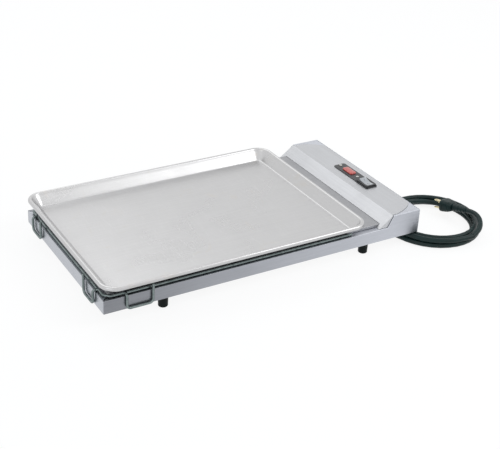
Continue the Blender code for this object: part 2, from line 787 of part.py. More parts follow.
def control_plate():
    """The dark plate on the cover's top."""
    outline = rounded_rectangle(*CONTROL_PLATE_SIZE, CONTROL_PLATE_CORNER, 4, CONTROL_PLATE_CENTRE)
    plate = prism(
        "control_plate", outline, CONTROL_PLATE_BOTTOM, CONTROL_PLATE_TOP, "Z",
        finish("control_plate_black", (0.035, 0.035, 0.04), 0.4),
    )
    return cut(plate, *top_holes("control_plate", CONTROL_PLATE_BOTTOM, CONTROL_PLATE_TOP))


def switch_body():
    """The switch's bezel and body, with the well that its rocker sits in."""
    x = CONTROL_PLATE_CENTRE[0]
    y = SWITCH_CENTRE_Y
    bezel = prism(
        "switch_body", rounded_rectangle(*BEZEL_SIZE, BEZEL_CORNER, 3, (x, y)), BEZEL_BOTTOM, BEZEL_TOP, "Z",
        finish("switch_black", (0.02, 0.02, 0.022), 0.35),
    )
    half_x = SWITCH_BODY_SIZE[0] / 2.0
    half_y = SWITCH_BODY_SIZE[1] / 2.0
    body = box(
        "switch_box", (x - half_x, y - half_y, BEZEL_TOP - SWITCH_BODY_DEPTH),
        (x + half_x, y + half_y, BEZEL_TOP - BEZEL_HEIGHT / 2.0),
    )
    well_x = ROCKER_SIZE[0] / 2.0 + ROCKER_CLEARANCE
    well_y = ROCKER_SIZE[1] / 2.0 + ROCKER_CLEARANCE
    well = box(
        "switch_well", (x - well_x, y - well_y, BEZEL_TOP - ROCKER_WELL_DEPTH),
        (x + well_x, y + well_y, BEZEL_TOP + OVERRUN),
    )
    reach = well_x + PIVOT_REACH
    pivot = rod("switch_pivot_hole", PIVOT_RADIUS + PIVOT_CLEARANCE, -reach, reach)
    join(bezel, body)
    return cut(bezel, well, stand(pivot, rocker_pivot(), "X"))


def rocker_pivot():
    return (CONTROL_PLATE_CENTRE[0], SWITCH_CENTRE_Y, BEZEL_TOP - PIVOT_RADIUS * 2.0)


def power_rocker():
    """The rocker, pressed down at its front end; its origin is on its pivot."""
    half_x = ROCKER_SIZE[0] / 2.0
    half_y = ROCKER_SIZE[1] / 2.0
    lift = BEZEL_TOP - rocker_pivot()[2]
    outline = [
        (-half_y, lift + ROCKER_EDGE_RISE - ROCKER_MIDDLE_RISE),
        (-half_y, -lift / 2.0),
        (-half_y * ROCKER_FOOT_SHARE, lift - ROCKER_DROP - ROCKER_MIDDLE_RISE),
        (half_y * ROCKER_FOOT_SHARE, lift - ROCKER_DROP - ROCKER_MIDDLE_RISE),
        (half_y, -lift / 2.0),
        (half_y, lift + ROCKER_EDGE_RISE - ROCKER_MIDDLE_RISE),
        (0.0, lift),
    ]
    rocker = prism(
        "power_rocker", outline, -half_x, half_x, "X", finish("rocker_grey", (0.72, 0.74, 0.76), 0.35),
    )
    reach = half_x + ROCKER_CLEARANCE + PIVOT_REACH - PIVOT_CLEARANCE
    stub = rod("rocker_stub", PIVOT_RADIUS, -reach, reach)
    stub.rotation_euler = (0.0, math.radians(90.0), 0.0)
    stub.parent = rocker
    rocker.location = rocker_pivot()
    rocker.rotation_euler = (math.radians(ROCKER_TILT_DEG), 0.0, 0.0)
    return join(rocker, stub)


def pilot_light():
    """The red lens, whose hollow neck passes the plate and the cover, and the lamp below it."""
    x = CONTROL_PLATE_CENTRE[0]
    y = LENS_CENTRE_Y
    base = CONTROL_PLATE_TOP + TOUCH
    lens = prism(
        "pilot_lens", rounded_rectangle(*LENS_SIZE, LENS_CORNER, 4, (x, y)), base, base + LENS_HEIGHT, "Z",
        finish("lens_red", (0.55, 0.02, 0.02), 0.15), 1.0 - LENS_CROWN / LENS_CORNER / 2.0,
    )
    neck_low = EAR_TOP - SHEET * 2.0
    half_x = LAMP_NECK_SIZE[0] / 2.0
    half_y = LAMP_NECK_SIZE[1] / 2.0
    neck = box(
        "lens_neck", (x - half_x, y - half_y, neck_low), (x + half_x, y + half_y, base + LENS_HEIGHT / 2.0),
    )
    hollow = box(
        "lens_hollow", (x - half_x + LAMP_WALL, y - half_y + LAMP_WALL, neck_low - OVERRUN),
        (x + half_x - LAMP_WALL, y + half_y - LAMP_WALL, base + LENS_HEIGHT / 2.0 - LAMP_WALL / 2.0),
    )
    join(lens, neck)
    cut(lens, hollow)
    lamp_top = neck_low - TOUCH
    box(
        "pilot_lamp", (x - half_x, y - half_y, lamp_top - LAMP_BODY_DEPTH),
        (x + half_x, y + half_y, lamp_top), finish("lamp_housing", (0.05, 0.05, 0.055), 0.5),
    )


def small_screw(name, location, axis="Z"):
    """A slotted pan-head screw; its seat is at its origin and its shank goes the other way."""
    profile = [
        (0.0, -SMALL_SCREW_LENGTH),
        (SMALL_SCREW_RADIUS, -SMALL_SCREW_LENGTH),
        (SMALL_SCREW_RADIUS, TOUCH),
        (SMALL_SCREW_HEAD_RADIUS, TOUCH),
        (SMALL_SCREW_HEAD_RADIUS, SMALL_SCREW_HEAD * 0.55),
        (SMALL_SCREW_HEAD_RADIUS * 0.7, SMALL_SCREW_HEAD),
        (0.0, SMALL_SCREW_HEAD),
    ]
    screw = turned(name, profile, SMALL_SIDES, zinc(name + "_zinc"))
    slot = box(
        name + "_slot", (-SMALL_SCREW_HEAD_RADIUS * 2.0, -SLOT_WIDTH / 2.0, SMALL_SCREW_HEAD - SLOT_DEPTH),
        (SMALL_SCREW_HEAD_RADIUS * 2.0, SLOT_WIDTH / 2.0, SMALL_SCREW_HEAD + OVERRUN),
    )
    slot.parent = screw
    return cut(stand(screw, location, axis), slot)


def screws():
    for number, y in enumerate(PLATE_SCREWS_Y):
        small_screw("plate_screw_%d" % (number + 1), (CONTROL_PLATE_CENTRE[0], y, CONTROL_PLATE_TOP))
    for number, side in enumerate((-1.0, 1.0)):
        seat = (HOUSING_RIGHT, side * COVER_SCREW_SPREAD, EAR_TOP - COVER_SCREW_DROP)
        small_screw("cover_screw_%d" % (number + 1), seat, "X")


def foot_places():
    """The names and places of the four feet."""
    places = []
    for row, side in (("front", -1.0), ("back", 1.0)):
        y = side * (HALF_DEPTH - FOOT_INSET_Y)
        places.append((row + "_left", HOUSING_LEFT + FOOT_INSET_X, y))
        places.append((row + "_right", HOUSING_RIGHT - FOOT_INSET_X, y))
    return places


def feet():
    """Four rubber feet, each held by a screw in its recess and a nut on the housing's floor."""
    bore = FOOT_SCREW_RADIUS + TOUCH
    foot_profile = [
        (bore, FOOT_HEIGHT),
        (FOOT_TOP_RADIUS, FOOT_HEIGHT),
        (FOOT_BOTTOM_RADIUS, FOOT_CHAMFER),
        (FOOT_BOTTOM_RADIUS - FOOT_CHAMFER, 0.0),
        (FOOT_RECESS_RADIUS, 0.0),
        (FOOT_RECESS_RADIUS, FOOT_RECESS_DEPTH),
        (bore, FOOT_RECESS_DEPTH),
    ]
    head_top = FOOT_RECESS_DEPTH - TOUCH
    screw_profile = [
        (0.0, head_top - FOOT_SCREW_HEAD),
        (FOOT_SCREW_HEAD_RADIUS * 0.75, head_top - FOOT_SCREW_HEAD),
        (FOOT_SCREW_HEAD_RADIUS, head_top - FOOT_SCREW_HEAD / 2.0),
        (FOOT_SCREW_HEAD_RADIUS, head_top),
        (FOOT_SCREW_RADIUS, head_top),
        (FOOT_SCREW_RADIUS, FOOT_NUT_TOP + FOOT_SCREW_SPARE),
        (0.0, FOOT_NUT_TOP + FOOT_SCREW_SPARE),
    ]
    nut_low = BASE_TOP + TOUCH
    nut_profile = [
        (bore, nut_low),
        (FOOT_NUT_RADIUS, nut_low),
        (FOOT_NUT_RADIUS, FOOT_NUT_TOP),
        (bore, FOOT_NUT_TOP),
    ]
    for name, x, y in foot_places():
        foot = turned("foot_" + name, foot_profile, FOOT_SIDES, dark_rubber("foot_rubber_" + name), True)
        screw = turned("foot_screw_" + name, screw_profile, SMALL_SIDES, zinc("foot_screw_zinc_" + name))
        nut = turned("foot_nut_" + name, nut_profile, 6, zinc("foot_nut_zinc_" + name), True)
        for item in (foot, screw, nut):
            stand(item, (x, y, 0.0))


def wire_steel(name):
    return finish(name, (0.035, 0.05, 0.045), 0.35, 0.6)


def corner_guard(name, side):
    """A bent wire round one left corner: a leg up each face, joined over the ledge by a hook."""
    face_y = side * (HALF_DEPTH + WIRE_OFFSET)
    ledge_y = side * (HALF_DEPTH - LEDGE_WIRE_INSET)
    face_x = HOUSING_LEFT - WIRE_OFFSET
    ledge_x = HOUSING_LEFT + LEDGE_WIRE_INSET
    ledge_z = PANEL_TOP + WIRE_OFFSET
    low_z = BASE_Z + WIRE_RADIUS
    leg_z = PANEL_TOP + GUARD_LEG_RISE
    leg_x = HOUSING_LEFT + GUARD_LEG_FROM_LEFT
    hook_x = HOUSING_LEFT + GUARD_HOOK_FROM_LEFT
    corner_x = HOUSING_LEFT + GUARD_CORNER_FROM_LEFT
    corner_y = side * (HALF_DEPTH - GUARD_CORNER_FROM_FRONT)
    hook_y = side * (HALF_DEPTH - GUARD_HOOK_FROM_FRONT)
    leg_y = side * (HALF_DEPTH - GUARD_LEG_FROM_FRONT)
    corners = (
        (leg_x, face_y, leg_z),
        (leg_x, face_y, low_z),
        (hook_x, face_y, low_z),
        (hook_x, face_y, ledge_z),
        (hook_x, ledge_y, ledge_z),
        (corner_x, ledge_y, ledge_z),
        (ledge_x, corner_y, ledge_z),
        (ledge_x, hook_y, ledge_z),
        (face_x, hook_y, ledge_z),
        (face_x, hook_y, low_z),
        (face_x, leg_y, low_z),
        (face_x, leg_y, leg_z),
    )
    bends = (
        WIRE_LOOP_BEND, WIRE_LOOP_BEND, WIRE_BEND, WIRE_BEND, WIRE_LOOP_BEND,
        WIRE_LOOP_BEND, WIRE_BEND, WIRE_BEND, WIRE_LOOP_BEND, WIRE_LOOP_BEND,
    )
    tube(name, bent_route(corners, bends), WIRE_RADIUS, 2, wire_steel(name + "_steel"))


def rails():
    """Straight wires on the ledge between and beyond the corner guards."""
    z = PANEL_TOP + TOUCH + WIRE_RADIUS
    start = HOUSING_LEFT + GUARD_HOOK_FROM_LEFT + WIRE_RADIUS + TOUCH
    end = SLOPE_BASE - RAIL_END_GAP
    for name, side in (("rail_front", -1.0), ("rail_back", 1.0)):
        y = side * (HALF_DEPTH - LEDGE_WIRE_INSET)
        tube(name, ((start, y, z), (end, y, z)), WIRE_RADIUS, 2, wire_steel(name + "_steel"))
    half = HALF_DEPTH - GUARD_HOOK_FROM_FRONT - WIRE_RADIUS - TOUCH
    x = HOUSING_LEFT + LEDGE_WIRE_INSET
    tube("rail_left", ((x, -half, z), (x, half, z)), WIRE_RADIUS, 2, wire_steel("rail_left_steel"))


def pan_profile():
    """The pan's section as (inset from the rim's outside, height), from inside round to outside."""
    run = PAN_FLOOR_INSET - PAN_WALL_TOP_INSET
    rise = PAN_HEIGHT - PAN_WALL_TOP_DROP - PAN_FLOOR_BLEND_RISE
    lean = math.hypot(run, rise)
    across = (PAN_SHEET * rise / lean, PAN_SHEET * run / lean)
    wall_low = (PAN_FLOOR_INSET, PAN_FLOOR_BLEND_RISE)
    wall_high = (PAN_WALL_TOP_INSET, PAN_HEIGHT - PAN_WALL_TOP_DROP)
    blend_in, blend_up = PAN_BLEND_MIDDLE_SHARES
    sheet_in, sheet_up = PAN_BLEND_SHEET_SHARES
    blend = (PAN_FLOOR_INSET + PAN_FLOOR_BLEND * blend_in, PAN_FLOOR_BLEND_RISE * blend_up)
    edge = (PAN_FLOOR_INSET + PAN_FLOOR_BLEND, 0.0)
    points = [
        (edge[0] + PAN_SHEET * PAN_FLOOR_SHEET_SHARE, PAN_SHEET),
        (blend[0] + across[0] * sheet_in, blend[1] + across[1] * sheet_up),
        (wall_low[0] + across[0], wall_low[1] + across[1]),
        (wall_high[0] + across[0], wall_high[1] + across[1]),
    ]
    for step in range(PAN_BEAD_STEPS + 1):
        span = PAN_BEAD_END_DEG - PAN_BEAD_START_DEG
        angle = math.radians(PAN_BEAD_START_DEG + span * step / PAN_BEAD_STEPS)
        points.append((
            PAN_BEAD_RADIUS * (1.0 + math.cos(angle)),
            PAN_HEIGHT - PAN_BEAD_RADIUS * (1.0 - math.sin(angle)),
        ))
    return points + [wall_high, wall_low, blend, edge]


def sheet_pan():
    """The lift-off pan: flat floor, leaning walls and a rolled bead round its rim."""
    bm = bmesh.new()
    rings = []
    for inset, height in pan_profile():
        outline = rounded_rectangle(
            PAN_LENGTH - 2.0 * inset, PAN_DEPTH - 2.0 * inset, PAN_CORNER - inset, PAN_CORNER_STEPS,
        )
        rings.append([bm.verts.new((x, y, height)) for x, y in outline])
    for ring, after in zip(rings, rings[1:]):
        for number, vert in enumerate(ring):
            following = (number + 1) % len(ring)
            bm.faces.new((vert, ring[following], after[following], after[number]))
    bm.faces.new(rings[0])
    bm.faces.new(rings[-1])
    surface = finish("pan_aluminium", (0.80, 0.80, 0.81), 0.3, 1.0)
    pan = place("sheet_pan", mesh_from(bm, "sheet_pan"), surface)
    pan.location = (PAN_CENTRE_X, 0.0, PAN_BOTTOM)
    return pan


def ribbed_taper(low, length, first_radius, last_radius, ribs, depth):
    """Points of a turned relief whose ribs shrink from the first radius towards the last."""
    points = []
    span = length / ribs
    for rib in range(ribs):
        radius = first_radius + (last_radius - first_radius) * rib / ribs
        for share, lower in ((0.0, 0.0), (0.55, 0.0), (0.62, 1.0), (0.93, 1.0)):
            points.append((radius - lower * depth, low + span * (rib + share)))
    return points


def strain_relief():
    """The bushing in the back wall: a flange and a long ribbed nose outside, a barb inside."""
    inner_end = -SHEET - GLAND_INSIDE
    nose = ribbed_taper(
        GLAND_FLANGE, GLAND_REACH - GLAND_FLANGE, GLAND_NOSE_RADIUS, GLAND_TIP_RADIUS, GLAND_RIBS,
        GLAND_RIB_DEPTH,
    )
    profile = [
        (0.0, inner_end),
        (GLAND_NECK_RADIUS * 0.9, inner_end),
        (GLAND_BARB_RADIUS, -SHEET - TOUCH),
        (GLAND_NECK_RADIUS, -SHEET - TOUCH),
        (GLAND_NECK_RADIUS, TOUCH),
        (GLAND_FLANGE_RADIUS, TOUCH),
        (GLAND_FLANGE_RADIUS, GLAND_FLANGE),
        *nose,
        (GLAND_TIP_RADIUS, GLAND_REACH),
        (0.0, GLAND_REACH),
    ]
    bushing = turned("strain_relief", profile, GLAND_SIDES, dark_rubber("strain_relief_nylon"))
    return stand(bushing, (GLAND_X, HALF_DEPTH, GLAND_Z), "Y")


def inner_leads():
    """Three insulated leads to the terminal block's front face, and the supply to its back face."""
    block_face = BLOCK_CENTRE[1] - BLOCK_SIZE[1] / 2.0 - TOUCH
    block_back = BLOCK_CENTRE[1] + BLOCK_SIZE[1] / 2.0 + TOUCH
    height = BASE_TOP + TOUCH + BLOCK_SIZE[2] / 2.0
    first = BLOCK_CENTRE[0] - LEAD_SPACING * 1.5
    ends = [(first + LEAD_SPACING * number, block_face, height) for number in range(3)]
    x = CONTROL_PLATE_CENTRE[0]
    gland_end = HALF_DEPTH - SHEET - GLAND_INSIDE - TOUCH
    lamp_low = EAR_TOP - SHEET * 2.0 - TOUCH * 2.0 - LAMP_BODY_DEPTH
    switch_low = BEZEL_TOP - SWITCH_BODY_DEPTH - TOUCH
    thermostat_end = DIVIDER_X + SHEET + THERMOSTAT_LENGTH + TERMINAL_REACH + TOUCH * 2.0
    middle = (BASE_TOP + PLATE_UNDER) / 2.0
    blade_y = THERMOSTAT_FRONT + TERMINAL_SPACING / 2.0
    routes = (
        ("thermostat_lead", (0.32, 0.05, 0.03), (
            (thermostat_end, blade_y, middle),
            (thermostat_end + LEAD_STEP, blade_y, middle),
            (ends[0][0], blade_y + LEAD_STEP * 2.0, LEAD_LOW_Z + LEAD_STEP / 2.0),
            (ends[0][0], 0.0, LEAD_LOW_Z),
        )),
        ("switch_lead", (0.03, 0.03, 0.03), (
            (x - LEAD_SPACING / 2.0, SWITCH_CENTRE_Y, switch_low),
            (x - LEAD_SPACING / 2.0, SWITCH_CENTRE_Y, switch_low - LEAD_STEP),
            (ends[1][0] + LEAD_SPACING / 4.0, SWITCH_CENTRE_Y + LEAD_STEP * 1.5, LEAD_LOW_Z),
        )),
        ("lamp_lead", (0.70, 0.70, 0.68), (
            (x, LENS_CENTRE_Y, lamp_low),
            (x, LENS_CENTRE_Y, lamp_low - LEAD_STEP / 2.0),
            (ends[2][0] + LEAD_SPACING / 4.0, LENS_CENTRE_Y + LEAD_STEP, LEAD_LOW_Z + LEAD_STEP / 3.0),
        )),
    )
    for (name, colour, route), end in zip(routes, ends):
        before = (end[0], end[1] - LEAD_RADIUS * 2.0, end[2])
        full = (*route, (end[0], end[1] - LEAD_STEP * 1.5, end[2]), before, end)
        points = smooth_route(full, LEAD_STEP / 2.0)
        tube(name, points, LEAD_RADIUS, 2, finish(name + "_insulation", colour, 0.5))
    supply = (
        (GLAND_X, gland_end, GLAND_Z),
        (GLAND_X, gland_end - LEAD_RADIUS * 2.0, GLAND_Z),
        (GLAND_X, block_back + LEAD_RADIUS * 2.0, height),
        (GLAND_X, block_back, height),
    )
    green = finish("supply_lead_insulation", (0.04, 0.30, 0.08), 0.5)
    tube("supply_lead", smooth_route(supply, LEAD_STEP / 2.0), LEAD_RADIUS, 2, green)


def coil_place(turn):
    """A point of the coil after a number of turns: in on the counter, then out one layer up."""
    middle = COIL_TURNS / 2.0
    half_climb = COIL_CLIMB_TURNS / 2.0
    away = turn - middle
    if abs(away) < half_climb:
        share = (away + half_climb) / COIL_CLIMB_TURNS
        steps_out = (away ** 2 + half_climb ** 2) / (2.0 * half_climb)
        layer = share ** 2 * (3.0 - 2.0 * share)
    else:
        steps_out = abs(away)
        layer = 1.0 if away > 0.0 else 0.0
    radius = COIL_INNER_RADIUS + COIL_PITCH * steps_out
    angle = math.radians(COIL_START_DEG) + math.tau * turn
    return Vector((
        COIL_CENTRE[0] + radius * math.cos(angle),
        COIL_CENTRE[1] + radius * math.sin(angle),
        CORD_REST_Z + COIL_LAYER * layer,
    ))


def coil_heading(turn):
    """The level direction in which the cord runs at a place on the coil."""
    small = 0.5 / COIL_POINTS_PER_TURN
    first = max(0.0, turn - small)
    last = min(COIL_TURNS, turn + small)
    return (coil_place(last) - coil_place(first)).normalized()


def coil_points():
    count = round(COIL_TURNS * COIL_POINTS_PER_TURN)
    points = [coil_place(COIL_TURNS * number / count) for number in range(count + 1)]
    start = points[0] - coil_heading(0.0) * CORD_DIAMETER
    end = points[-1] + coil_heading(COIL_TURNS) * CORD_DIAMETER
    return [start, *points, end]


def least_gap(points, diameter):
    """The smallest gap between strands of the coil that are over half a turn apart."""
    apart = COIL_POINTS_PER_TURN // 2
    gaps = []
    for number, point in enumerate(points):
        for other in points[number + apart:]:
            gaps.append((other - point).length - diameter)
    return min(gaps)


def plug_matrix():
    """The plug's own frame: +X out of its face, Z across its two blades."""
    turn = Matrix.Rotation(math.radians(PLUG_HEADING_DEG), 4, "Z")
    tilt = Matrix.Rotation(math.radians(-PLUG_TILT_DEG), 4, "Y")
    roll = Matrix.Rotation(math.radians(PLUG_ROLL_DEG), 4, "X")
    return Matrix.Translation(PLUG_FACE) @ turn @ tilt @ roll


def plug():
    """The moulded plug with its ribbed relief, its two blades and its ground pin."""
    holder = bpy.data.objects.new("plug_frame", None)
    holder.matrix_world = plug_matrix()
    bpy.context.scene.collection.objects.link(holder)
    outline = rounded_rectangle(PLUG_THICKNESS, PLUG_WIDTH, PLUG_CORNER, PLUG_CORNER_STEPS)
    body = prism(
        "plug_body", outline, 0.0, -PLUG_BODY_LENGTH, "X", dark_rubber("plug_vinyl"), PLUG_BODY_BACK_SHARE,
    )
    start = PLUG_BODY_LENGTH * 0.8
    length = PLUG_RELIEF_LENGTH + PLUG_BODY_LENGTH - start
    ribs = ribbed_taper(
        0.0, length, PLUG_RELIEF_RADIUS, PLUG_RELIEF_TIP_RADIUS, PLUG_RIBS, PLUG_RIB_DEPTH,
    )
    profile = [(0.0, 0.0), *ribs, (PLUG_RELIEF_TIP_RADIUS, length), (0.0, length)]
    relief = turned("plug_relief", profile, SMALL_SIDES)
    relief.rotation_euler = (0.0, math.radians(-90.0), 0.0)
    relief.location = (-start, 0.0, 0.0)
    join(body, relief)
    sockets = []
    for name, side in (("plug_blade_upper", 1.0), ("plug_blade_lower", -1.0)):
        middle = Vector((0.0, BLADE_OFFSET, side * BLADE_SPACING / 2.0))
        half = Vector((0.0, BLADE_WIDTH / 2.0, BLADE_THICKNESS / 2.0))
        room = Vector((0.0, TOUCH, TOUCH))
        back = Vector((-BLADE_SOCKET, 0.0, 0.0))
        front = Vector((BLADE_REACH, 0.0, 0.0))
        blade = box(name, middle - half + back, middle + half + front, brass(name + "_brass"))
        blade.parent = holder
        sockets.append(box(
            name + "_socket", middle - half - room + back - Vector((TOUCH, 0.0, 0.0)),
            middle + half + room + Vector((OVERRUN, 0.0, 0.0)),
        ))
    pin_y = BLADE_OFFSET - GROUND_PIN_DROP
    tip = GROUND_PIN_RADIUS
    pin_profile = [
        (0.0, -BLADE_SOCKET),
        (GROUND_PIN_RADIUS, -BLADE_SOCKET),
        (GROUND_PIN_RADIUS, GROUND_PIN_REACH - tip),
        (GROUND_PIN_RADIUS * 0.8, GROUND_PIN_REACH - tip * 0.4),
        (GROUND_PIN_RADIUS * 0.4, GROUND_PIN_REACH),
        (0.0, GROUND_PIN_REACH),
    ]
    pin = turned("plug_ground_pin", pin_profile, SMALL_SIDES, brass("ground_pin_brass"))
    stand(pin, (0.0, pin_y, 0.0), "X").parent = holder
    socket = rod("ground_pin_socket", GROUND_PIN_RADIUS + TOUCH, -BLADE_SOCKET - TOUCH, OVERRUN)
    sockets.append(stand(socket, (0.0, pin_y, 0.0), "X"))
    for item in (body, relief, *sockets):
        item.parent = holder
    return cut(body, *sockets)


def from_end(route):
    """A route whose X is counted from the right end, in the frame of the whole."""
    return [Vector((HOUSING_RIGHT + x, y, z)) for x, y, z in route]


def supply_cord():
    """The cord's free stretches and its coil, end to end from the strain relief to the plug."""
    jacket = dark_rubber("cord_jacket")
    wound = coil_points()
    heading = coil_heading(0.0)
    lead_end = wound[0] - heading * TOUCH
    lead_start = Vector((GLAND_X, HALF_DEPTH + GLAND_REACH + TOUCH, GLAND_Z))
    first_run = (lead_start, lead_start + Vector((0.0, CORD_DIAMETER, 0.0)))
    last_run = (lead_end - heading * CORD_DIAMETER, lead_end)
    lead = smooth_route((*first_run, *from_end(LEAD_ROUTE), *last_run), CORD_POINT_SPACING)
    tube("power_cord_lead", lead, CORD_RADIUS, 2, jacket)
    coil = tube("power_cord_coil", wound, CORD_RADIUS, 1, dark_rubber("coil_jacket"), "Z_UP")
    frame = plug_matrix()
    relief_end = frame @ Vector((-PLUG_BODY_LENGTH - PLUG_RELIEF_LENGTH - TOUCH, 0.0, 0.0))
    relief_run = frame @ Vector((-PLUG_BODY_LENGTH - PLUG_RELIEF_LENGTH - TOUCH - CORD_DIAMETER, 0.0, 0.0))
    leaving = coil_heading(COIL_TURNS)
    tail_start = wound[-1] + leaving * TOUCH
    tail = smooth_route(
        (tail_start, tail_start + leaving * CORD_DIAMETER, *from_end(TAIL_ROUTE), relief_run, relief_end),
        CORD_DIAMETER,
    )
    tube("power_cord_tail", tail, CORD_RADIUS, 2, dark_rubber("tail_jacket"))
    gap = least_gap(wound, CORD_DIAMETER)
    print("least gap of the coil to itself: %.2f mm" % (gap * 1000.0))
    if gap < LEAST_COIL_GAP:
        print("the coil's strands lie too close together")
    total = route_length(lead) + route_length(wound) + route_length(tail)
    print("cord from strain relief to plug: %.3f m" % total)
    return coil


def build():
    clear_objects()
    side_panel("front_panel", -1.0, stainless("front_steel"))
    back_panel()
    left_end_panel()
    right_end_panel()
    base_pan()
    shelf_plate()
    heating_parts()
    thermostat()
    terminal_block()
    control_cover()
    control_plate()
    switch_body()
    power_rocker()
    pilot_light()
    screws()
    feet()
    corner_guard("corner_guard_front", -1.0)
    corner_guard("corner_guard_back", 1.0)
    rails()
    sheet_pan()
    strain_relief()
    inner_leads()
    supply_cord()
    plug()


build()
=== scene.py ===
"""The heated shelf food warmer, dressed for a picture: fine shapes, materials, light and camera.

Metres, +Z up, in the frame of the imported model. X runs towards the controls and -Y is the front.
"""

import json
import math

import bmesh
import bpy
from mathutils import Matrix, Vector

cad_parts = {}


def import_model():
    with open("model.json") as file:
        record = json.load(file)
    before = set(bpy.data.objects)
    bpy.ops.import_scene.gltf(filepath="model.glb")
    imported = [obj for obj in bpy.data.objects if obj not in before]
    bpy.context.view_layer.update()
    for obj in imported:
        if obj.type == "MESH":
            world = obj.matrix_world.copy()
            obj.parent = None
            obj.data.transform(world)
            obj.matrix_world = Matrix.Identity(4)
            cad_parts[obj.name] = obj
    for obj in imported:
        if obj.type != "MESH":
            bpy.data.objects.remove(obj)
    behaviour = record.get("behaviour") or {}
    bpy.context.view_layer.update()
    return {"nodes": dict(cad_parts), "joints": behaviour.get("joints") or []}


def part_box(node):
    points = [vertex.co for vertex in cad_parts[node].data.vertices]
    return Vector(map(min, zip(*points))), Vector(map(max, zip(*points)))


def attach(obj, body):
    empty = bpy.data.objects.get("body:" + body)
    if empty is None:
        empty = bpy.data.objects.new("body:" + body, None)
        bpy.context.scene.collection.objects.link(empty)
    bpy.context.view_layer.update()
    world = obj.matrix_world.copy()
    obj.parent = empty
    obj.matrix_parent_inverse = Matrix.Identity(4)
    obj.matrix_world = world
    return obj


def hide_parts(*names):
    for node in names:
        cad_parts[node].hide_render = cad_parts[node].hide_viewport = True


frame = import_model()
nodes = frame["nodes"]

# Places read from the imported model
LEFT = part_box("left_end_panel")[0].x
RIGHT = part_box("right_end_panel")[1].x
HALF_DEPTH = -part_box("front_panel")[0].y
BASE_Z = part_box("front_panel")[0].z
EAR_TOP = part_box("front_panel")[1].z
PANEL_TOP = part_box("left_end_panel")[1].z

# Sizes shared with the source of the solids
TOUCH = 0.0003
SHEET = 0.0012
WIRE_RADIUS = 0.002
WIRE_BEND = 0.004
WIRE_LOOP_BEND = 0.006
WIRE_OFFSET = WIRE_BEND - (WIRE_BEND - WIRE_RADIUS - TOUCH) / math.sqrt(2.0)
LEDGE_WIRE_INSET = 0.0052
GUARD_LEG_FROM_LEFT = 0.0767
GUARD_HOOK_FROM_LEFT = 0.0354
GUARD_CORNER = 0.0130
GUARD_HOOK_FROM_FRONT = 0.031
GUARD_LEG_FROM_FRONT = 0.0655
GUARD_LEG_RISE = 0.0115

CORD_DIAMETER = 0.0086
CORD_RADIUS = CORD_DIAMETER / 2.0
COIL_CENTRE = (RIGHT + 0.0605, -0.1159)
COIL_INNER_RADIUS = 0.0661
COIL_PITCH = 0.0092
COIL_LAYER = 0.0091
COIL_TURNS = 3.22
COIL_START_DEG = 192.0
COIL_CLIMB_TURNS = 0.5
COIL_POINTS_PER_TURN = 36
GLAND_INSET = 0.026
GLAND_Z = BASE_Z + 0.0115
GLAND_REACH = 0.020
LEAD_ROUTE = (
    (-0.0207, 0.1981, 0.0279),
    (-0.0065, 0.2121, 0.0215),
    (0.0123, 0.2157, 0.0143),
    (0.0300, 0.2080, 0.0086),
    (0.0428, 0.1904, 0.0056),
    (0.0474, 0.1665, 0.0047),
    (0.0452, 0.1420, 0.0046),
    (0.0408, 0.1195, 0.0046),
    (0.0353, 0.0980, 0.0046),
    (0.0290, 0.0768, 0.0046),
    (0.0224, 0.0550, 0.0046),
    (0.0153, 0.0328, 0.0046),
    (0.0084, 0.0105, 0.0046),
    (0.0014, -0.0115, 0.0046),
    (-0.0058, -0.0332, 0.0046),
    (-0.0128, -0.0550, 0.0046),
    (-0.0193, -0.0774, 0.0046),
    (-0.0236, -0.0985, 0.0046),
)
TAIL_ROUTE = (
    (0.0833, -0.1967, 0.0154),
    (0.0956, -0.1927, 0.0191),
    (0.1055, -0.1849, 0.0232),
    (0.1125, -0.1736, 0.0271),
    (0.1154, -0.1608, 0.0290),
)

PLUG_FACE = (RIGHT + 0.1050, -0.0920, 0.0178)
PLUG_HEADING_DEG = 100.2
PLUG_TILT_DEG = 10.3
PLUG_ROLL_DEG = 4.0
PLUG_WIDTH = 0.0265
PLUG_THICKNESS = 0.0205
PLUG_BODY_LENGTH = 0.022
PLUG_RELIEF_LENGTH = 0.028
PLUG_RELIEF_RADIUS = 0.0068
PLUG_RELIEF_TIP_RADIUS = 0.0052
PLUG_RIBS = 5
PLUG_RIB_DEPTH = 0.0009
BLADE_SPACING = 0.0127
BLADE_WIDTH = 0.0063
BLADE_THICKNESS = 0.0015
BLADE_REACH = 0.016
BLADE_OFFSET = 0.0042
GROUND_PIN_RADIUS = 0.0024
GROUND_PIN_REACH = 0.0185
GROUND_PIN_Y = BLADE_OFFSET - 0.0118


# Camera at the photograph's place

CAMERA_PLACE = (RIGHT - 1.0626, -1.3386, 0.8717)
CAMERA_AZIMUTH_DEG = -30.31
CAMERA_ELEVATION_DEG = 27.35
CAMERA_ROLL_DEG = 2.27
SENSOR_WIDTH_MM = 36.0
LENS_MM = 77.76
SHIFT_X = 0.05
SHIFT_Y = -0.05


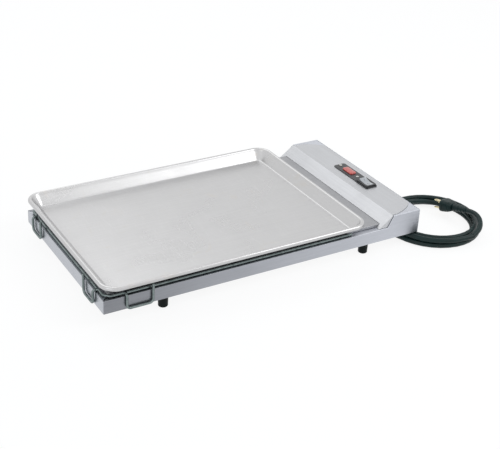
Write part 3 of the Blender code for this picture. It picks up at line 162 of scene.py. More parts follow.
def set_camera():
    azimuth = math.radians(CAMERA_AZIMUTH_DEG)
    elevation = math.radians(CAMERA_ELEVATION_DEG)
    roll = math.radians(CAMERA_ROLL_DEG)
    back = Vector((
        math.sin(azimuth) * math.cos(elevation),
        -math.cos(azimuth) * math.cos(elevation),
        math.sin(elevation),
    ))
    right = (-back).cross(Vector((0.0, 0.0, 1.0))).normalized()
    up = right.cross(-back)
    turned_right = right * math.cos(roll) + up * math.sin(roll)
    turned_up = -right * math.sin(roll) + up * math.cos(roll)
    data = bpy.data.cameras.new("camera")
    data.sensor_width = SENSOR_WIDTH_MM
    data.lens = LENS_MM
    data.shift_x = SHIFT_X
    data.shift_y = SHIFT_Y
    camera = bpy.data.objects.new("camera", data)
    turn = Matrix((turned_right, turned_up, back)).transposed().to_4x4()
    camera.matrix_world = Matrix.Translation(CAMERA_PLACE) @ turn
    bpy.context.scene.collection.objects.link(camera)
    bpy.context.scene.camera = camera


# Materials

class Surface:
    """A material under construction: its nodes, and the one Principled shader at its end."""

    def __init__(self, name, roughness=0.5, metallic=0.0):
        self.material = bpy.data.materials.new(name)
        self.material.use_nodes = True
        self.tree = self.material.node_tree
        self.shader = self.tree.nodes["Principled BSDF"]
        self.shader.inputs["Roughness"].default_value = roughness
        self.shader.inputs["Metallic"].default_value = metallic
        self.place = self.node("ShaderNodeTexCoord").outputs["Object"]
        self.geometry = self.node("ShaderNodeNewGeometry")

    def node(self, kind, **settings):
        made = self.tree.nodes.new(kind)
        for key, value in settings.items():
            setattr(made, key, value)
        return made

    def feed(self, socket, value):
        """Link an output to a socket, or set the socket to a number or colour."""
        if isinstance(value, bpy.types.NodeSocket):
            self.tree.links.new(value, socket)
        elif isinstance(value, tuple) and len(value) == 3 and socket.type == "RGBA":
            socket.default_value = (*value, 1.0)
        else:
            socket.default_value = value

    def stretched(self, scale, turn=(0.0, 0.0, 0.0)):
        """The object's own place, scaled along each axis."""
        mapping = self.node("ShaderNodeMapping")
        self.feed(mapping.inputs["Vector"], self.place)
        mapping.inputs["Rotation"].default_value = turn
        mapping.inputs["Scale"].default_value = scale
        return mapping.outputs["Vector"]

    def noise(self, scale, detail=3.0, roughness=0.55, place=None, distortion=0.0):
        made = self.node("ShaderNodeTexNoise")
        self.feed(made.inputs["Vector"], self.place if place is None else place)
        made.inputs["Scale"].default_value = scale
        made.inputs["Detail"].default_value = detail
        made.inputs["Roughness"].default_value = roughness
        made.inputs["Distortion"].default_value = distortion
        return made.outputs["Fac"]

    def cells(self, scale):
        made = self.node("ShaderNodeTexVoronoi", feature="DISTANCE_TO_EDGE")
        self.feed(made.inputs["Vector"], self.place)
        made.inputs["Scale"].default_value = scale
        return made.outputs["Distance"]

    def spread(self, value, from_low, from_high, to_low=0.0, to_high=1.0):
        made = self.node("ShaderNodeMapRange")
        self.feed(made.inputs["Value"], value)
        made.inputs["From Min"].default_value = from_low
        made.inputs["From Max"].default_value = from_high
        made.inputs["To Min"].default_value = to_low
        made.inputs["To Max"].default_value = to_high
        return made.outputs["Result"]

    def sum(self, first, second, kind="ADD"):
        made = self.node("ShaderNodeMath", operation=kind)
        self.feed(made.inputs[0], first)
        self.feed(made.inputs[1], second)
        return made.outputs[0]

    def mix(self, share, first, second, kind="MIX"):
        made = self.node("ShaderNodeMix", data_type="RGBA", blend_type=kind)
        self.feed(made.inputs["Factor"], share)
        self.feed(made.inputs["A"], first)
        self.feed(made.inputs["B"], second)
        return made.outputs["Result"]

    def edges(self, radius=0.0007):
        """Near 1 beside a sharp edge and 0 elsewhere."""
        rounded = self.node("ShaderNodeBevel", samples=4)
        rounded.inputs["Radius"].default_value = radius
        facing = self.node("ShaderNodeVectorMath", operation="DOT_PRODUCT")
        self.feed(facing.inputs[0], rounded.outputs["Normal"])
        self.feed(facing.inputs[1], self.geometry.outputs["Normal"])
        return self.spread(facing.outputs["Value"], 0.995, 0.90)

    def colour(self, value):
        self.feed(self.shader.inputs["Base Color"], value)

    def roughness(self, value):
        self.feed(self.shader.inputs["Roughness"], value)

    def bump(self, height, depth, strength=1.0):
        made = self.node("ShaderNodeBump")
        made.inputs["Strength"].default_value = strength
        made.inputs["Distance"].default_value = depth
        self.feed(made.inputs["Height"], height)
        self.feed(self.shader.inputs["Normal"], made.outputs["Normal"])

    def set(self, **values):
        for key, value in values.items():
            socket = self.shader.inputs[key.replace("_", " ").title()]
            socket.default_value = value


def shade(colour, factor):
    return tuple(channel * factor for channel in colour)


def brushed_metal(name, colour, rough, grain, wear=1.12, streak=0.10, depth=0.000012, painted_shade_end=None):
    """Sheet metal with a fine brushed grain, faint smudges and brighter worn edges.

    The last argument paints shade along X: the X at which the painted shade is deepest, the X at which it has
    faded out, and the share of the colour that is left at the deepest point.
    """
    made = Surface(name, rough, 1.0)
    along = made.stretched(grain)
    fine = made.noise(1.0, 4.0, 0.6, along)
    coarse = made.noise(0.28, 2.0, 0.5, along)
    cloud = made.noise(13.0, 3.0, 0.5)
    smudge = made.noise(34.0, 4.0, 0.6, distortion=0.6)
    tone = made.sum(made.spread(fine, 0.3, 0.7, -streak, streak), made.spread(cloud, 0.3, 0.7, -0.035, 0.035))
    broad = made.spread(coarse, 0.3, 0.7, -streak / 2.0, streak / 2.0)
    share = made.spread(made.sum(tone, broad), -0.2, 0.2)
    body = made.mix(share, shade(colour, 0.86), shade(colour, 1.12))
    # Painted shade: the colour is multiplied down in a ramp along X, darkest at the first given X.
    if painted_shade_end is not None:
        split = made.node("ShaderNodeSeparateXYZ")
        made.feed(split.inputs[0], made.place)
        fade = made.spread(split.outputs["X"], painted_shade_end[0], painted_shade_end[1], painted_shade_end[2], 1.0)
        body = made.mix(1.0, body, fade, "MULTIPLY")
    made.colour(made.mix(made.edges(), body, shade(colour, wear)))
    base = made.sum(made.spread(fine, 0.3, 0.7, rough - 0.05, rough + 0.05),
                    made.spread(smudge, 0.45, 0.75, 0.0, 0.07))
    made.roughness(base)
    made.bump(fine, depth)
    return made.material


def cast_rubber(name, colour, rough, speckle=1.35, depth=0.00004, shine=0.28):
    """Moulded vinyl or rubber: a soft sheen, a fine pebble and traces of dust."""
    made = Surface(name, rough)
    made.shader.inputs["Specular IOR Level"].default_value = shine
    cloud = made.noise(60.0, 3.0, 0.6)
    pebble = made.noise(1900.0, 2.0, 0.6)
    dust = made.spread(made.noise(240.0, 4.0, 0.7), 0.56, 0.72)
    body = made.mix(made.spread(cloud, 0.35, 0.65), shade(colour, 0.8), shade(colour, speckle))
    made.colour(made.mix(made.sum(dust, 0.05, "MULTIPLY"), body, (0.14, 0.16, 0.16)))
    made.roughness(made.spread(cloud, 0.3, 0.7, rough - 0.06, rough + 0.08))
    made.bump(pebble, depth)
    return made.material


def moulded_plastic(name, colour, rough, depth=0.00002, coat=0.0):
    """Hard plastic with a spark-eroded grain and slight handling marks."""
    made = Surface(name, rough)
    cloud = made.noise(90.0, 3.0, 0.5)
    grain = made.noise(2600.0, 2.0, 0.7)
    rub = made.spread(made.noise(320.0, 3.0, 0.6), 0.5, 0.7)
    body = made.mix(made.spread(cloud, 0.3, 0.7), shade(colour, 0.9), shade(colour, 1.1))
    worn = made.mix(made.sum(made.edges(), 0.35, "MULTIPLY"), body, shade(colour, 1.6))
    made.colour(worn)
    made.roughness(made.spread(rub, 0.0, 1.0, rough, rough + 0.09))
    made.bump(grain, depth)
    made.set(coat_weight=coat)
    return made.material


def dark_plated_wire(name):
    """Bent steel wire with a dark, slightly green plating that is rubbed bright in places."""
    made = Surface(name, 0.26, 1.0)
    cloud = made.noise(120.0, 3.0, 0.6)
    orange_peel = made.noise(900.0, 2.0, 0.5)
    chips = made.spread(made.noise(520.0, 4.0, 0.75), 0.66, 0.72)
    body = made.mix(made.spread(cloud, 0.35, 0.65), (0.150, 0.185, 0.182), (0.240, 0.280, 0.278))
    made.colour(made.mix(made.sum(chips, 0.5, "MULTIPLY"), body, (0.42, 0.44, 0.43)))
    made.roughness(made.spread(cloud, 0.3, 0.7, 0.20, 0.34))
    made.bump(orange_peel, 0.00002)
    return made.material


def plated(name, colour, rough=0.26):
    """Bright plated metal with fine drag marks and dull spots."""
    made = Surface(name, rough, 1.0)
    drag = made.noise(1.0, 3.0, 0.6, made.stretched((420.0, 420.0, 2600.0)))
    spots = made.spread(made.noise(700.0, 4.0, 0.7), 0.55, 0.75)
    body = made.mix(made.spread(drag, 0.3, 0.7), shade(colour, 0.88), shade(colour, 1.08))
    made.colour(made.mix(made.sum(spots, 0.45, "MULTIPLY"), body, shade(colour, 0.55)))
    made.roughness(made.sum(made.spread(drag, 0.3, 0.7, rough - 0.05, rough + 0.06),
                            made.sum(spots, 0.2, "MULTIPLY")))
    made.bump(drag, 0.00001)
    return made.material


def pan_metal(name):
    """Natural aluminium sheet: rolled grain, scuffs from scouring, and a warm bake film in places."""
    colour = (0.57, 0.57, 0.575)
    made = Surface(name, 0.3, 1.0)
    rolled = made.noise(1.0, 4.0, 0.6, made.stretched((22.0, 1500.0, 900.0)))
    scuff_place = made.stretched((1300.0, 30.0, 300.0), (0.0, 0.0, 0.7))
    other_place = made.stretched((1300.0, 26.0, 300.0), (0.0, 0.0, -0.45))
    scuff = made.spread(made.noise(1.0, 3.0, 0.6, scuff_place), 0.62, 0.70)
    other = made.spread(made.noise(1.0, 3.0, 0.6, other_place), 0.62, 0.70)
    scratches = made.sum(scuff, other, "MAXIMUM")
    cloud = made.noise(9.0, 4.0, 0.6, distortion=0.8)
    film = made.spread(made.noise(21.0, 4.0, 0.65, distortion=1.2), 0.60, 0.80)
    body = made.mix(made.spread(rolled, 0.3, 0.7), shade(colour, 0.93), shade(colour, 1.03))
    tinted = made.mix(made.sum(film, 0.30, "MULTIPLY"), body, (0.58, 0.52, 0.43))
    made.colour(made.mix(made.sum(scratches, 0.22, "MULTIPLY"), tinted, (0.84, 0.84, 0.85)))
    rough = made.sum(made.spread(cloud, 0.3, 0.7, 0.24, 0.36), made.sum(scratches, 0.08, "MULTIPLY"))
    made.roughness(made.sum(rough, made.sum(film, 0.10, "MULTIPLY")))
    made.bump(made.sum(rolled, made.sum(scratches, -0.5, "MULTIPLY")), 0.000015)
    return made.material


def red_lens(name):
    """Clear red plastic over a dark lamp, with small prisms moulded inside."""
    made = Surface(name, 0.16)
    cells = made.cells(620.0)
    prism = made.spread(cells, 0.0, 0.35)
    cloud = made.noise(160.0, 2.0, 0.5)
    deep = made.mix(made.spread(cloud, 0.3, 0.7), (0.42, 0.012, 0.012), (0.60, 0.03, 0.026))
    made.colour(made.mix(prism, (0.85, 0.16, 0.13), deep))
    made.roughness(made.spread(cloud, 0.3, 0.7, 0.10, 0.22))
    made.bump(prism, 0.00006, 0.4)
    made.set(coat_weight=0.6, coat_roughness=0.08)
    return made.material


def fibre(name, colour):
    """Pressed mineral fibre with loose strands on its surface."""
    made = Surface(name, 0.95)
    strands = made.noise(1.0, 5.0, 0.7, made.stretched((120.0, 700.0, 1200.0)), 1.5)
    tufts = made.noise(260.0, 4.0, 0.7)
    made.colour(made.mix(made.spread(strands, 0.3, 0.7), shade(colour, 0.72), shade(colour, 1.08)))
    made.bump(made.sum(strands, tufts), 0.0004, 0.8)
    return made.material


STEEL_GRAIN_X = (24.0, 1500.0, 1500.0)
STEEL_GRAIN_Y = (1500.0, 24.0, 1500.0)

MATERIALS = {
    # The front and back panels carry painted shade: their colour falls to 0.46 of itself towards the left
    # end.
    "housing_steel": brushed_metal(
        "housing_steel", (0.57, 0.59, 0.64), 0.36, STEEL_GRAIN_X, painted_shade_end=(LEFT, RIGHT, 0.46),
    ),
    "end_steel": brushed_metal("end_steel", (0.49, 0.51, 0.55), 0.34, STEEL_GRAIN_Y),
    "cover_steel": brushed_metal("cover_steel", (0.55, 0.56, 0.58), 0.36, STEEL_GRAIN_Y),
    "base_steel": brushed_metal("base_steel", (0.56, 0.57, 0.58), 0.42, STEEL_GRAIN_X),
    "shelf_aluminium": brushed_metal("shelf_aluminium", (0.38, 0.385, 0.40), 0.42, STEEL_GRAIN_X),
    "zinc_steel": plated("zinc_steel", (0.60, 0.60, 0.57), 0.34),
    "brass": plated("brass", (0.83, 0.74, 0.48)),
    "pan_aluminium": pan_metal("pan_aluminium"),
    "dark_wire": dark_plated_wire("dark_wire"),
    "cord_rubber": cast_rubber("cord_rubber", (0.0050, 0.0200, 0.0200), 0.38),
    "foot_rubber": cast_rubber("foot_rubber", (0.0028, 0.0060, 0.0060), 0.50, shine=0.15),
    "heater_silicone": cast_rubber("heater_silicone", (0.36, 0.10, 0.06), 0.6, 1.2, 0.0001),
    "insulation_fibre": fibre("insulation_fibre", (0.72, 0.70, 0.62)),
    "phenolic": moulded_plastic("phenolic", (0.055, 0.045, 0.04), 0.42),
    "nylon": moulded_plastic("nylon", (0.66, 0.64, 0.58), 0.5),
    "control_black": moulded_plastic("control_black", (0.050, 0.050, 0.053), 0.36),
    "switch_black": moulded_plastic("switch_black", (0.022, 0.022, 0.024), 0.32),
    "rocker_grey": moulded_plastic("rocker_grey", (0.56, 0.58, 0.60), 0.30, 0.00001, 0.2),
    "mark_ink": moulded_plastic("mark_ink", (0.03, 0.03, 0.035), 0.5, 0.00001),
    "lens_red": red_lens("lens_red"),
    "lead_red": moulded_plastic("lead_red", (0.30, 0.035, 0.02), 0.45),
    "lead_black": moulded_plastic("lead_black", (0.025, 0.025, 0.025), 0.45),
    "lead_white": moulded_plastic("lead_white", (0.62, 0.62, 0.59), 0.45),
    "lead_green": moulded_plastic("lead_green", (0.03, 0.22, 0.06), 0.45),
}


# Shape helpers

def paint(item, surface):
    item.data.materials.clear()
    item.data.materials.append(MATERIALS[surface])


def add(name, mesh, surface, stands_for, body="housing", smooth_deg=35.0, matrix=None):
    """Link a mesh as a piece that rides on a body and stands for its CAD nodes."""
    mesh.shade_smooth()
    mesh.set_sharp_from_angle(angle=math.radians(smooth_deg))
    item = bpy.data.objects.new(name, mesh)
    bpy.context.scene.collection.objects.link(item)
    if matrix is not None:
        item.matrix_world = matrix
    paint(item, surface)
    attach(item, body)
    if stands_for:
        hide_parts(*stands_for)
    return item


def mesh_of(bm, name):
    bmesh.ops.remove_doubles(bm, verts=bm.verts, dist=0.000001)
    bmesh.ops.recalc_face_normals(bm, faces=bm.faces)
    mesh = bpy.data.meshes.new(name)
    bm.to_mesh(mesh)
    bm.free()
    return mesh


def skin(bm, rings):
    """Faces between each ring of vertices and the next one."""
    for ring, after in zip(rings, rings[1:]):
        for number, vert in enumerate(ring):
            following = (number + 1) % len(ring)
            bm.faces.new((vert, ring[following], after[following], after[number]))


def lofted(name, rings, capped=True):
    """A skin over rings of points that all have the same count."""
    bm = bmesh.new()
    made = [[bm.verts.new(point) for point in ring] for ring in rings]
    skin(bm, made)
    if capped:
        bm.faces.new(made[0])
        bm.faces.new(made[-1])
    return mesh_of(bm, name)


def turned(name, profile, sides=48, axis_turn=None):
    """A profile of (radius, height) points spun round Z."""
    bm = bmesh.new()
    verts = [bm.verts.new((radius, 0.0, height)) for radius, height in profile]
    edges = [bm.edges.new(pair) for pair in zip(verts, verts[1:])]
    bmesh.ops.spin(
        bm, geom=verts + edges, cent=(0.0, 0.0, 0.0), axis=(0.0, 0.0, 1.0),
        angle=math.tau, steps=sides, use_merge=True, use_duplicate=False,
    )
    if axis_turn is not None:
        bmesh.ops.transform(bm, matrix=axis_turn, verts=bm.verts)
    return mesh_of(bm, name)


def softened(profile, radius, steps=4):
    """A profile whose corners are rounded by arcs of up to a radius."""
    points = [Vector(point) for point in profile]
    count = len(points)
    out = []
    for number, corner in enumerate(points):
        if number in (0, count - 1):
            out.append(corner)
            continue
        before = points[number - 1] - corner
        after = points[number + 1] - corner
        if before.length < 1e-7 or after.length < 1e-7:
            out.append(corner)
            continue
        half = before.angle(after, math.pi) / 2.0
        if half > math.radians(86.0):
            out.append(corner)
            continue
        reach = min(radius / math.tan(half), before.length * 0.45, after.length * 0.45)
        first = corner + before.normalized() * reach
        last = corner + after.normalized() * reach
        for step in range(steps + 1):
            share = step / steps
            blend = first.lerp(corner, share).lerp(corner.lerp(last, share), share)
            out.append(blend)
    return [tuple(point) for point in out]


def rounded_rectangle(width, depth, radius, steps):
    points = []
    for side_x, side_y, start in ((1, 1, 0.0), (-1, 1, 90.0), (-1, -1, 180.0), (1, -1, 270.0)):
        for step in range(steps + 1):
            angle = math.radians(start + 90.0 * step / steps)
            points.append((
                side_x * (width / 2.0 - radius) + radius * math.cos(angle),
                side_y * (depth / 2.0 - radius) + radius * math.sin(angle),
            ))
    return points


def bent_route(corners, bends, steps=10):
    """Straight runs between corners, each corner rounded by its own bend radius."""
    corners = [Vector(corner) for corner in corners]
    points = [corners[0]]
    for before, corner, after, bend in zip(corners, corners[1:], corners[2:], bends):
        incoming = (before - corner).normalized()
        outgoing = (after - corner).normalized()
        half = incoming.angle(outgoing) / 2.0
        reach = bend / math.tan(half)
        centre = corner + (incoming + outgoing).normalized() * bend / math.sin(half)
        first = corner + incoming * reach - centre
        last = corner + outgoing * reach - centre
        normal = first.cross(last).normalized()
        sweep = first.angle(last)
        for step in range(steps + 1):
            points.append(centre + Matrix.Rotation(sweep * step / steps, 3, normal) @ first)
    points.append(corners[-1])
    return points


def smooth_route(route, per_run=8):
    """A smooth curve through a route's points; its first and last runs stay straight."""
    route = [Vector(point) for point in route]
    fine = [route[0]]
    for index in range(1, len(route) - 2):
        before, start, end, after = route[index - 1:index + 3]
        for step in range(per_run):
            t = step / per_run
            fine.append(
                0.5 * (2.0 * start + (end - before) * t
                       + (2.0 * before - 5.0 * start + 4.0 * end - after) * t ** 2
                       + (3.0 * start - before - 3.0 * end + after) * t ** 3)
            )
    return [*fine, route[-2], route[-1]]


def swept(name, points, radius, sides=20, end_round=0.6):
    """A round rod along points, whose ends are rounded over."""
    points = [Vector(point) for point in points]
    headings = []
    for number in range(len(points)):
        before = points[max(0, number - 1)]
        after = points[min(len(points) - 1, number + 1)]
        headings.append((after - before).normalized())
    side = headings[0].orthogonal().normalized()
    stations = []
    steps = 4
    reach = radius * end_round

    def end_radius(share):
        return radius * math.sqrt(1.0 - (1.0 - share) ** 2 * 0.94)

    for step in range(steps):
        share = step / steps
        stations.append((points[0] + headings[0] * reach * share, 0, end_radius(share)))
    stations.append((points[0] + headings[0] * reach, 0, radius))
    for number in range(1, len(points) - 1):
        stations.append((points[number], number, radius))
    last = len(points) - 1
    stations.append((points[-1] - headings[-1] * reach, last, radius))
    for step in reversed(range(steps)):
        share = step / steps
        stations.append((points[-1] - headings[-1] * reach * share, last, end_radius(share)))
    rings = []
    heading = headings[0]
    for place, number, size in stations:
        side = heading.rotation_difference(headings[number]) @ side
        heading = headings[number]
        other = heading.cross(side)
        angles = [math.tau * turn / sides for turn in range(sides)]
        rings.append([place + (side * math.cos(angle) + other * math.sin(angle)) * size for angle in angles])
    return lofted(name, rings)


def carve(item, cutters):
    """Cut helpers from a piece for good, and remove them."""
    for cutter in cutters:
        step = item.modifiers.new("cut", "BOOLEAN")
        step.operation = "DIFFERENCE"
        step.object = cutter
        step.solver = "EXACT"
    bpy.context.view_layer.update()
    graph = bpy.context.evaluated_depsgraph_get()
    mesh = bpy.data.meshes.new_from_object(item.evaluated_get(graph))
    item.modifiers.clear()
    old = item.data
    item.data = mesh
    bpy.data.meshes.remove(old)
    for cutter in cutters:
        bpy.data.objects.remove(cutter, do_unlink=True)
    item.data.shade_smooth()
    item.data.set_sharp_from_angle(angle=math.radians(30.0))
    return item


def cutter(name, low, high, matrix=None):
    bm = bmesh.new()
    middle = (Vector(low) + Vector(high)) / 2.0
    size = Vector(high) - Vector(low)
    spread = Matrix.Translation(middle) @ Matrix.Diagonal((*size, 1.0))
    bmesh.ops.create_cube(bm, size=1.0, matrix=spread)
    item = bpy.data.objects.new(name, mesh_of(bm, name))
    bpy.context.scene.collection.objects.link(item)
    if matrix is not None:
        item.matrix_world = matrix
    return item


def eased(node, width, segments=3, angle_deg=40.0):
    """Give a CAD node small rounded edges, as folded or cast metal has."""
    item = nodes[node]
    weld = item.modifiers.new("weld", "WELD")
    weld.merge_threshold = 0.00001
    bevel = item.modifiers.new("eased_edges", "BEVEL")
    bevel.width = width
    bevel.segments = segments
    bevel.limit_method = "ANGLE"
    bevel.angle_limit = math.radians(angle_deg)
    bevel.harden_normals = True
    return item


# The free cord, from the strain relief to the plug

def coil_place(turn):
    """A point of the coil after a number of turns: in on the counter, then out one layer up."""
    half_climb = COIL_CLIMB_TURNS / 2.0
    away = turn - COIL_TURNS / 2.0
    if abs(away) < half_climb:
        share = (away + half_climb) / COIL_CLIMB_TURNS
        steps_out = (away ** 2 + half_climb ** 2) / (2.0 * half_climb)
        layer = share ** 2 * (3.0 - 2.0 * share)
    else:
        steps_out = abs(away)
        layer = 1.0 if away > 0.0 else 0.0
    radius = COIL_INNER_RADIUS + COIL_PITCH * steps_out
    angle = math.radians(COIL_START_DEG) + math.tau * turn
    return Vector((
        COIL_CENTRE[0] + radius * math.cos(angle),
        COIL_CENTRE[1] + radius * math.sin(angle),
        CORD_RADIUS + TOUCH + COIL_LAYER * layer,
    ))


def coil_heading(turn):
    small = 0.02
    first = coil_place(max(0.0, turn - small))
    last = coil_place(min(COIL_TURNS, turn + small))
    return (last - first).normalized()


def plug_matrix():
    turn = Matrix.Rotation(math.radians(PLUG_HEADING_DEG), 4, "Z")
    tilt = Matrix.Rotation(math.radians(PLUG_TILT_DEG), 4, "Y")
    roll = Matrix.Rotation(math.radians(PLUG_ROLL_DEG), 4, "X")
    return Matrix.Translation(PLUG_FACE) @ turn @ tilt @ roll


def from_end(route):
    return [Vector((RIGHT + x, y, z)) for x, y, z in route]


def cord_points():
    gland_tip = Vector((RIGHT - GLAND_INSET, HALF_DEPTH + GLAND_REACH + TOUCH, GLAND_Z))
    coil_start = coil_place(0.0)
    heading = coil_heading(0.0)
    lead = smooth_route((
        gland_tip, gland_tip + Vector((0.0, CORD_DIAMETER, 0.0)), *from_end(LEAD_ROUTE),
        coil_start - heading * CORD_DIAMETER * 2.0, coil_start - heading * CORD_DIAMETER,
    ), 6)
    count = round(COIL_TURNS * COIL_POINTS_PER_TURN)
    coil = [coil_place(COIL_TURNS * number / count) for number in range(count + 1)]
    leaving = coil_heading(COIL_TURNS)
    frame_of_plug = plug_matrix()
    relief_x = -PLUG_BODY_LENGTH - PLUG_RELIEF_LENGTH - TOUCH
    relief_end = frame_of_plug @ Vector((relief_x, 0.0, 0.0))
    relief_run = frame_of_plug @ Vector((relief_x - CORD_DIAMETER, 0.0, 0.0))
    tail = smooth_route((
        coil[-1] + leaving * CORD_DIAMETER, coil[-1] + leaving * CORD_DIAMETER * 2.0,
        *from_end(TAIL_ROUTE), relief_run, relief_end,
    ), 6)
    return [*lead, *coil, *tail]


def power_cord():
    points = cord_points()
    curve = bpy.data.curves.new("power_cord", "CURVE")
    curve.dimensions = "3D"
    curve.twist_mode = "MINIMUM"
    curve.bevel_depth = CORD_RADIUS
    curve.bevel_resolution = 6
    curve.use_fill_caps = True
    spline = curve.splines.new("POLY")
    spline.points.add(len(points) - 1)
    for vertex, point in zip(spline.points, points):
        vertex.co = (*point, 1.0)
    spline.use_smooth = True
    item = bpy.data.objects.new("power_cord", curve)
    bpy.context.scene.collection.objects.link(item)
    paint(item, "cord_rubber")
    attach(item, "housing")
    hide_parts("power_cord_lead", "power_cord_coil", "power_cord_tail")
    return item, points


def ribbed_taper(low, length, first_radius, last_radius, ribs, depth):
    points = []
    span = length / ribs
    for rib in range(ribs):
        radius = first_radius + (last_radius - first_radius) * rib / ribs
        for share, lower in ((0.0, 0.0), (0.55, 0.0), (0.62, 1.0), (0.93, 1.0)):
            points.append((radius - lower * depth, low + span * (rib + share)))
    return points


GLAND_FLANGE_RADIUS = 0.0092
GLAND_FLANGE = 0.003
GLAND_NECK_RADIUS = 0.0060
GLAND_BARB_RADIUS = 0.0066
GLAND_INNER_RADIUS = 0.0054
GLAND_INNER_DEPTH = 0.007
GLAND_NOSE_RADIUS = 0.0068
GLAND_TIP_RADIUS = 0.0052
GLAND_RIBS = 5
GLAND_RIB_DEPTH = 0.0008


def strain_relief():
    """The ribbed nose and flange outside the back panel, and the barbed end inside it."""
    nose = ribbed_taper(
        GLAND_FLANGE, GLAND_REACH - GLAND_FLANGE, GLAND_NOSE_RADIUS, GLAND_TIP_RADIUS,
        GLAND_RIBS, GLAND_RIB_DEPTH,
    )
    inner = -SHEET - GLAND_INNER_DEPTH
    profile = [
        (0.0, inner), (GLAND_INNER_RADIUS, inner), (GLAND_BARB_RADIUS, -SHEET - TOUCH),
        (GLAND_NECK_RADIUS, -SHEET - TOUCH), (GLAND_NECK_RADIUS, TOUCH),
        (GLAND_FLANGE_RADIUS, TOUCH), (GLAND_FLANGE_RADIUS, GLAND_FLANGE),
        *nose, (GLAND_TIP_RADIUS, GLAND_REACH), (0.0, GLAND_REACH),
    ]
    turn = Matrix.Rotation(math.radians(-90.0), 4, "X")
    mesh = turned("cord_strain_relief", softened(profile, 0.0003, 3), 64, turn)
    place = Matrix.Translation((RIGHT - GLAND_INSET, HALF_DEPTH, GLAND_Z))
    return add("cord_strain_relief", mesh, "cord_rubber", ["strain_relief"], matrix=place)


def plug_pieces():
    """The moulded plug: a grip that waists in, a ribbed relief, two blades and a round pin."""
    matrix = plug_matrix()
    rings = []
    sections = (
        (0.0000, 0.93, 0.90), (-0.0006, 0.985, 0.975), (-0.0016, 1.0, 1.0), (-0.0050, 1.0, 1.0),
        (-0.0064, 0.985, 0.98), (-0.0072, 0.955, 0.94), (-0.0082, 0.95, 0.935), (-0.0090, 0.965, 0.955),
        (-0.0100, 0.935, 0.91), (-0.0112, 0.925, 0.90), (-0.0120, 0.945, 0.925), (-0.0130, 0.905, 0.875),
        (-0.0142, 0.895, 0.865), (-0.0152, 0.905, 0.875), (-0.0164, 0.855, 0.82), (-0.0185, 0.80, 0.76),
        (-0.0203, 0.74, 0.70), (-0.0214, 0.68, 0.64), (-0.0220, 0.58, 0.56),
    )
    for x, across, through in sections:
        outline = rounded_rectangle(PLUG_THICKNESS * through, PLUG_WIDTH * across, 0.0064 * across, 7)
        rings.append([Vector((x, b, a)) for a, b in outline])
    body = add(
        "plug_grip", lofted("plug_grip", rings), "cord_rubber", ["plug_body"], smooth_deg=50.0, matrix=matrix,
    )
    start = PLUG_BODY_LENGTH * 0.8
    length = PLUG_RELIEF_LENGTH + PLUG_BODY_LENGTH - start
    ribs = ribbed_taper(0.0, length, PLUG_RELIEF_RADIUS, PLUG_RELIEF_TIP_RADIUS, PLUG_RIBS, PLUG_RIB_DEPTH)
    profile = [(0.0, 0.0), *ribs, (PLUG_RELIEF_TIP_RADIUS, length), (0.0, length)]
    turn = Matrix.Translation((-start, 0.0, 0.0)) @ Matrix.Rotation(math.radians(-90.0), 4, "Y")
    relief = add(
        "plug_relief", turned("plug_relief", softened(profile, 0.0003, 3), 48, turn), "cord_rubber", [],
        matrix=matrix,
    )
    face_rim = rounded_rectangle(PLUG_THICKNESS * 0.62, PLUG_WIDTH * 0.66, 0.004, 7)
    rim_rings = [
        [Vector((x, b * size, a * size)) for a, b in face_rim]
        for x, size in ((0.0, 1.0), (0.00025, 0.99), (0.00035, 0.965), (0.0, 0.94))
    ]
    rim = add("plug_face_rim", lofted("plug_face_rim", rim_rings, False), "cord_rubber", [], matrix=matrix)
    pieces = [body, relief, rim]
    for name, side in (("upper", 1.0), ("lower", -1.0)):
        rings = []
        stations = (
            (-0.004, 1.0, 1.0), (BLADE_REACH - 0.0042, 1.0, 1.0), (BLADE_REACH - 0.0026, 0.97, 0.94),
            (BLADE_REACH - 0.0012, 0.88, 0.80), (BLADE_REACH - 0.0004, 0.76, 0.62), (BLADE_REACH, 0.62, 0.40),
        )
        for x, across, through in stations:
            outline = rounded_rectangle(BLADE_WIDTH * across, BLADE_THICKNESS * through, 0.00022, 4)
            rings.append([Vector((x, BLADE_OFFSET + a, side * BLADE_SPACING / 2.0 + b)) for a, b in outline])
        blade = add(
            "plug_blade_" + name + "_fine", lofted("plug_blade_fine", rings), "brass",
            ["plug_blade_" + name], matrix=matrix,
        )
        hole = bpy.data.objects.new("blade_hole", turned("blade_hole", [
            (0.0, -0.003), (0.0016, -0.003), (0.0016, 0.003), (0.0, 0.003),
        ], 32))
        bpy.context.scene.collection.objects.link(hole)
        hole.matrix_world = matrix @ Matrix.Translation(
            (BLADE_REACH - 0.0045, BLADE_OFFSET, side * BLADE_SPACING / 2.0)
        )
        carve(blade, [hole])
        pieces.append(blade)
    radius = GROUND_PIN_RADIUS
    tip = [
        (radius * math.cos(math.radians(angle)),
         GROUND_PIN_REACH - radius + radius * math.sin(math.radians(angle)))
        for angle in range(0, 90, 10)
    ]
    pin_profile = [(0.0, -0.004), (radius, -0.004), *tip, (0.0, GROUND_PIN_REACH)]
    turn = Matrix.Translation((0.0, GROUND_PIN_Y, 0.0)) @ Matrix.Rotation(math.radians(90.0), 4, "Y")
    pin = add(
        "plug_round_pin", turned("plug_round_pin", pin_profile, 40, turn), "brass", ["plug_ground_pin"],
        matrix=matrix,
    )
    pieces.append(pin)
    return pieces


# Wire work

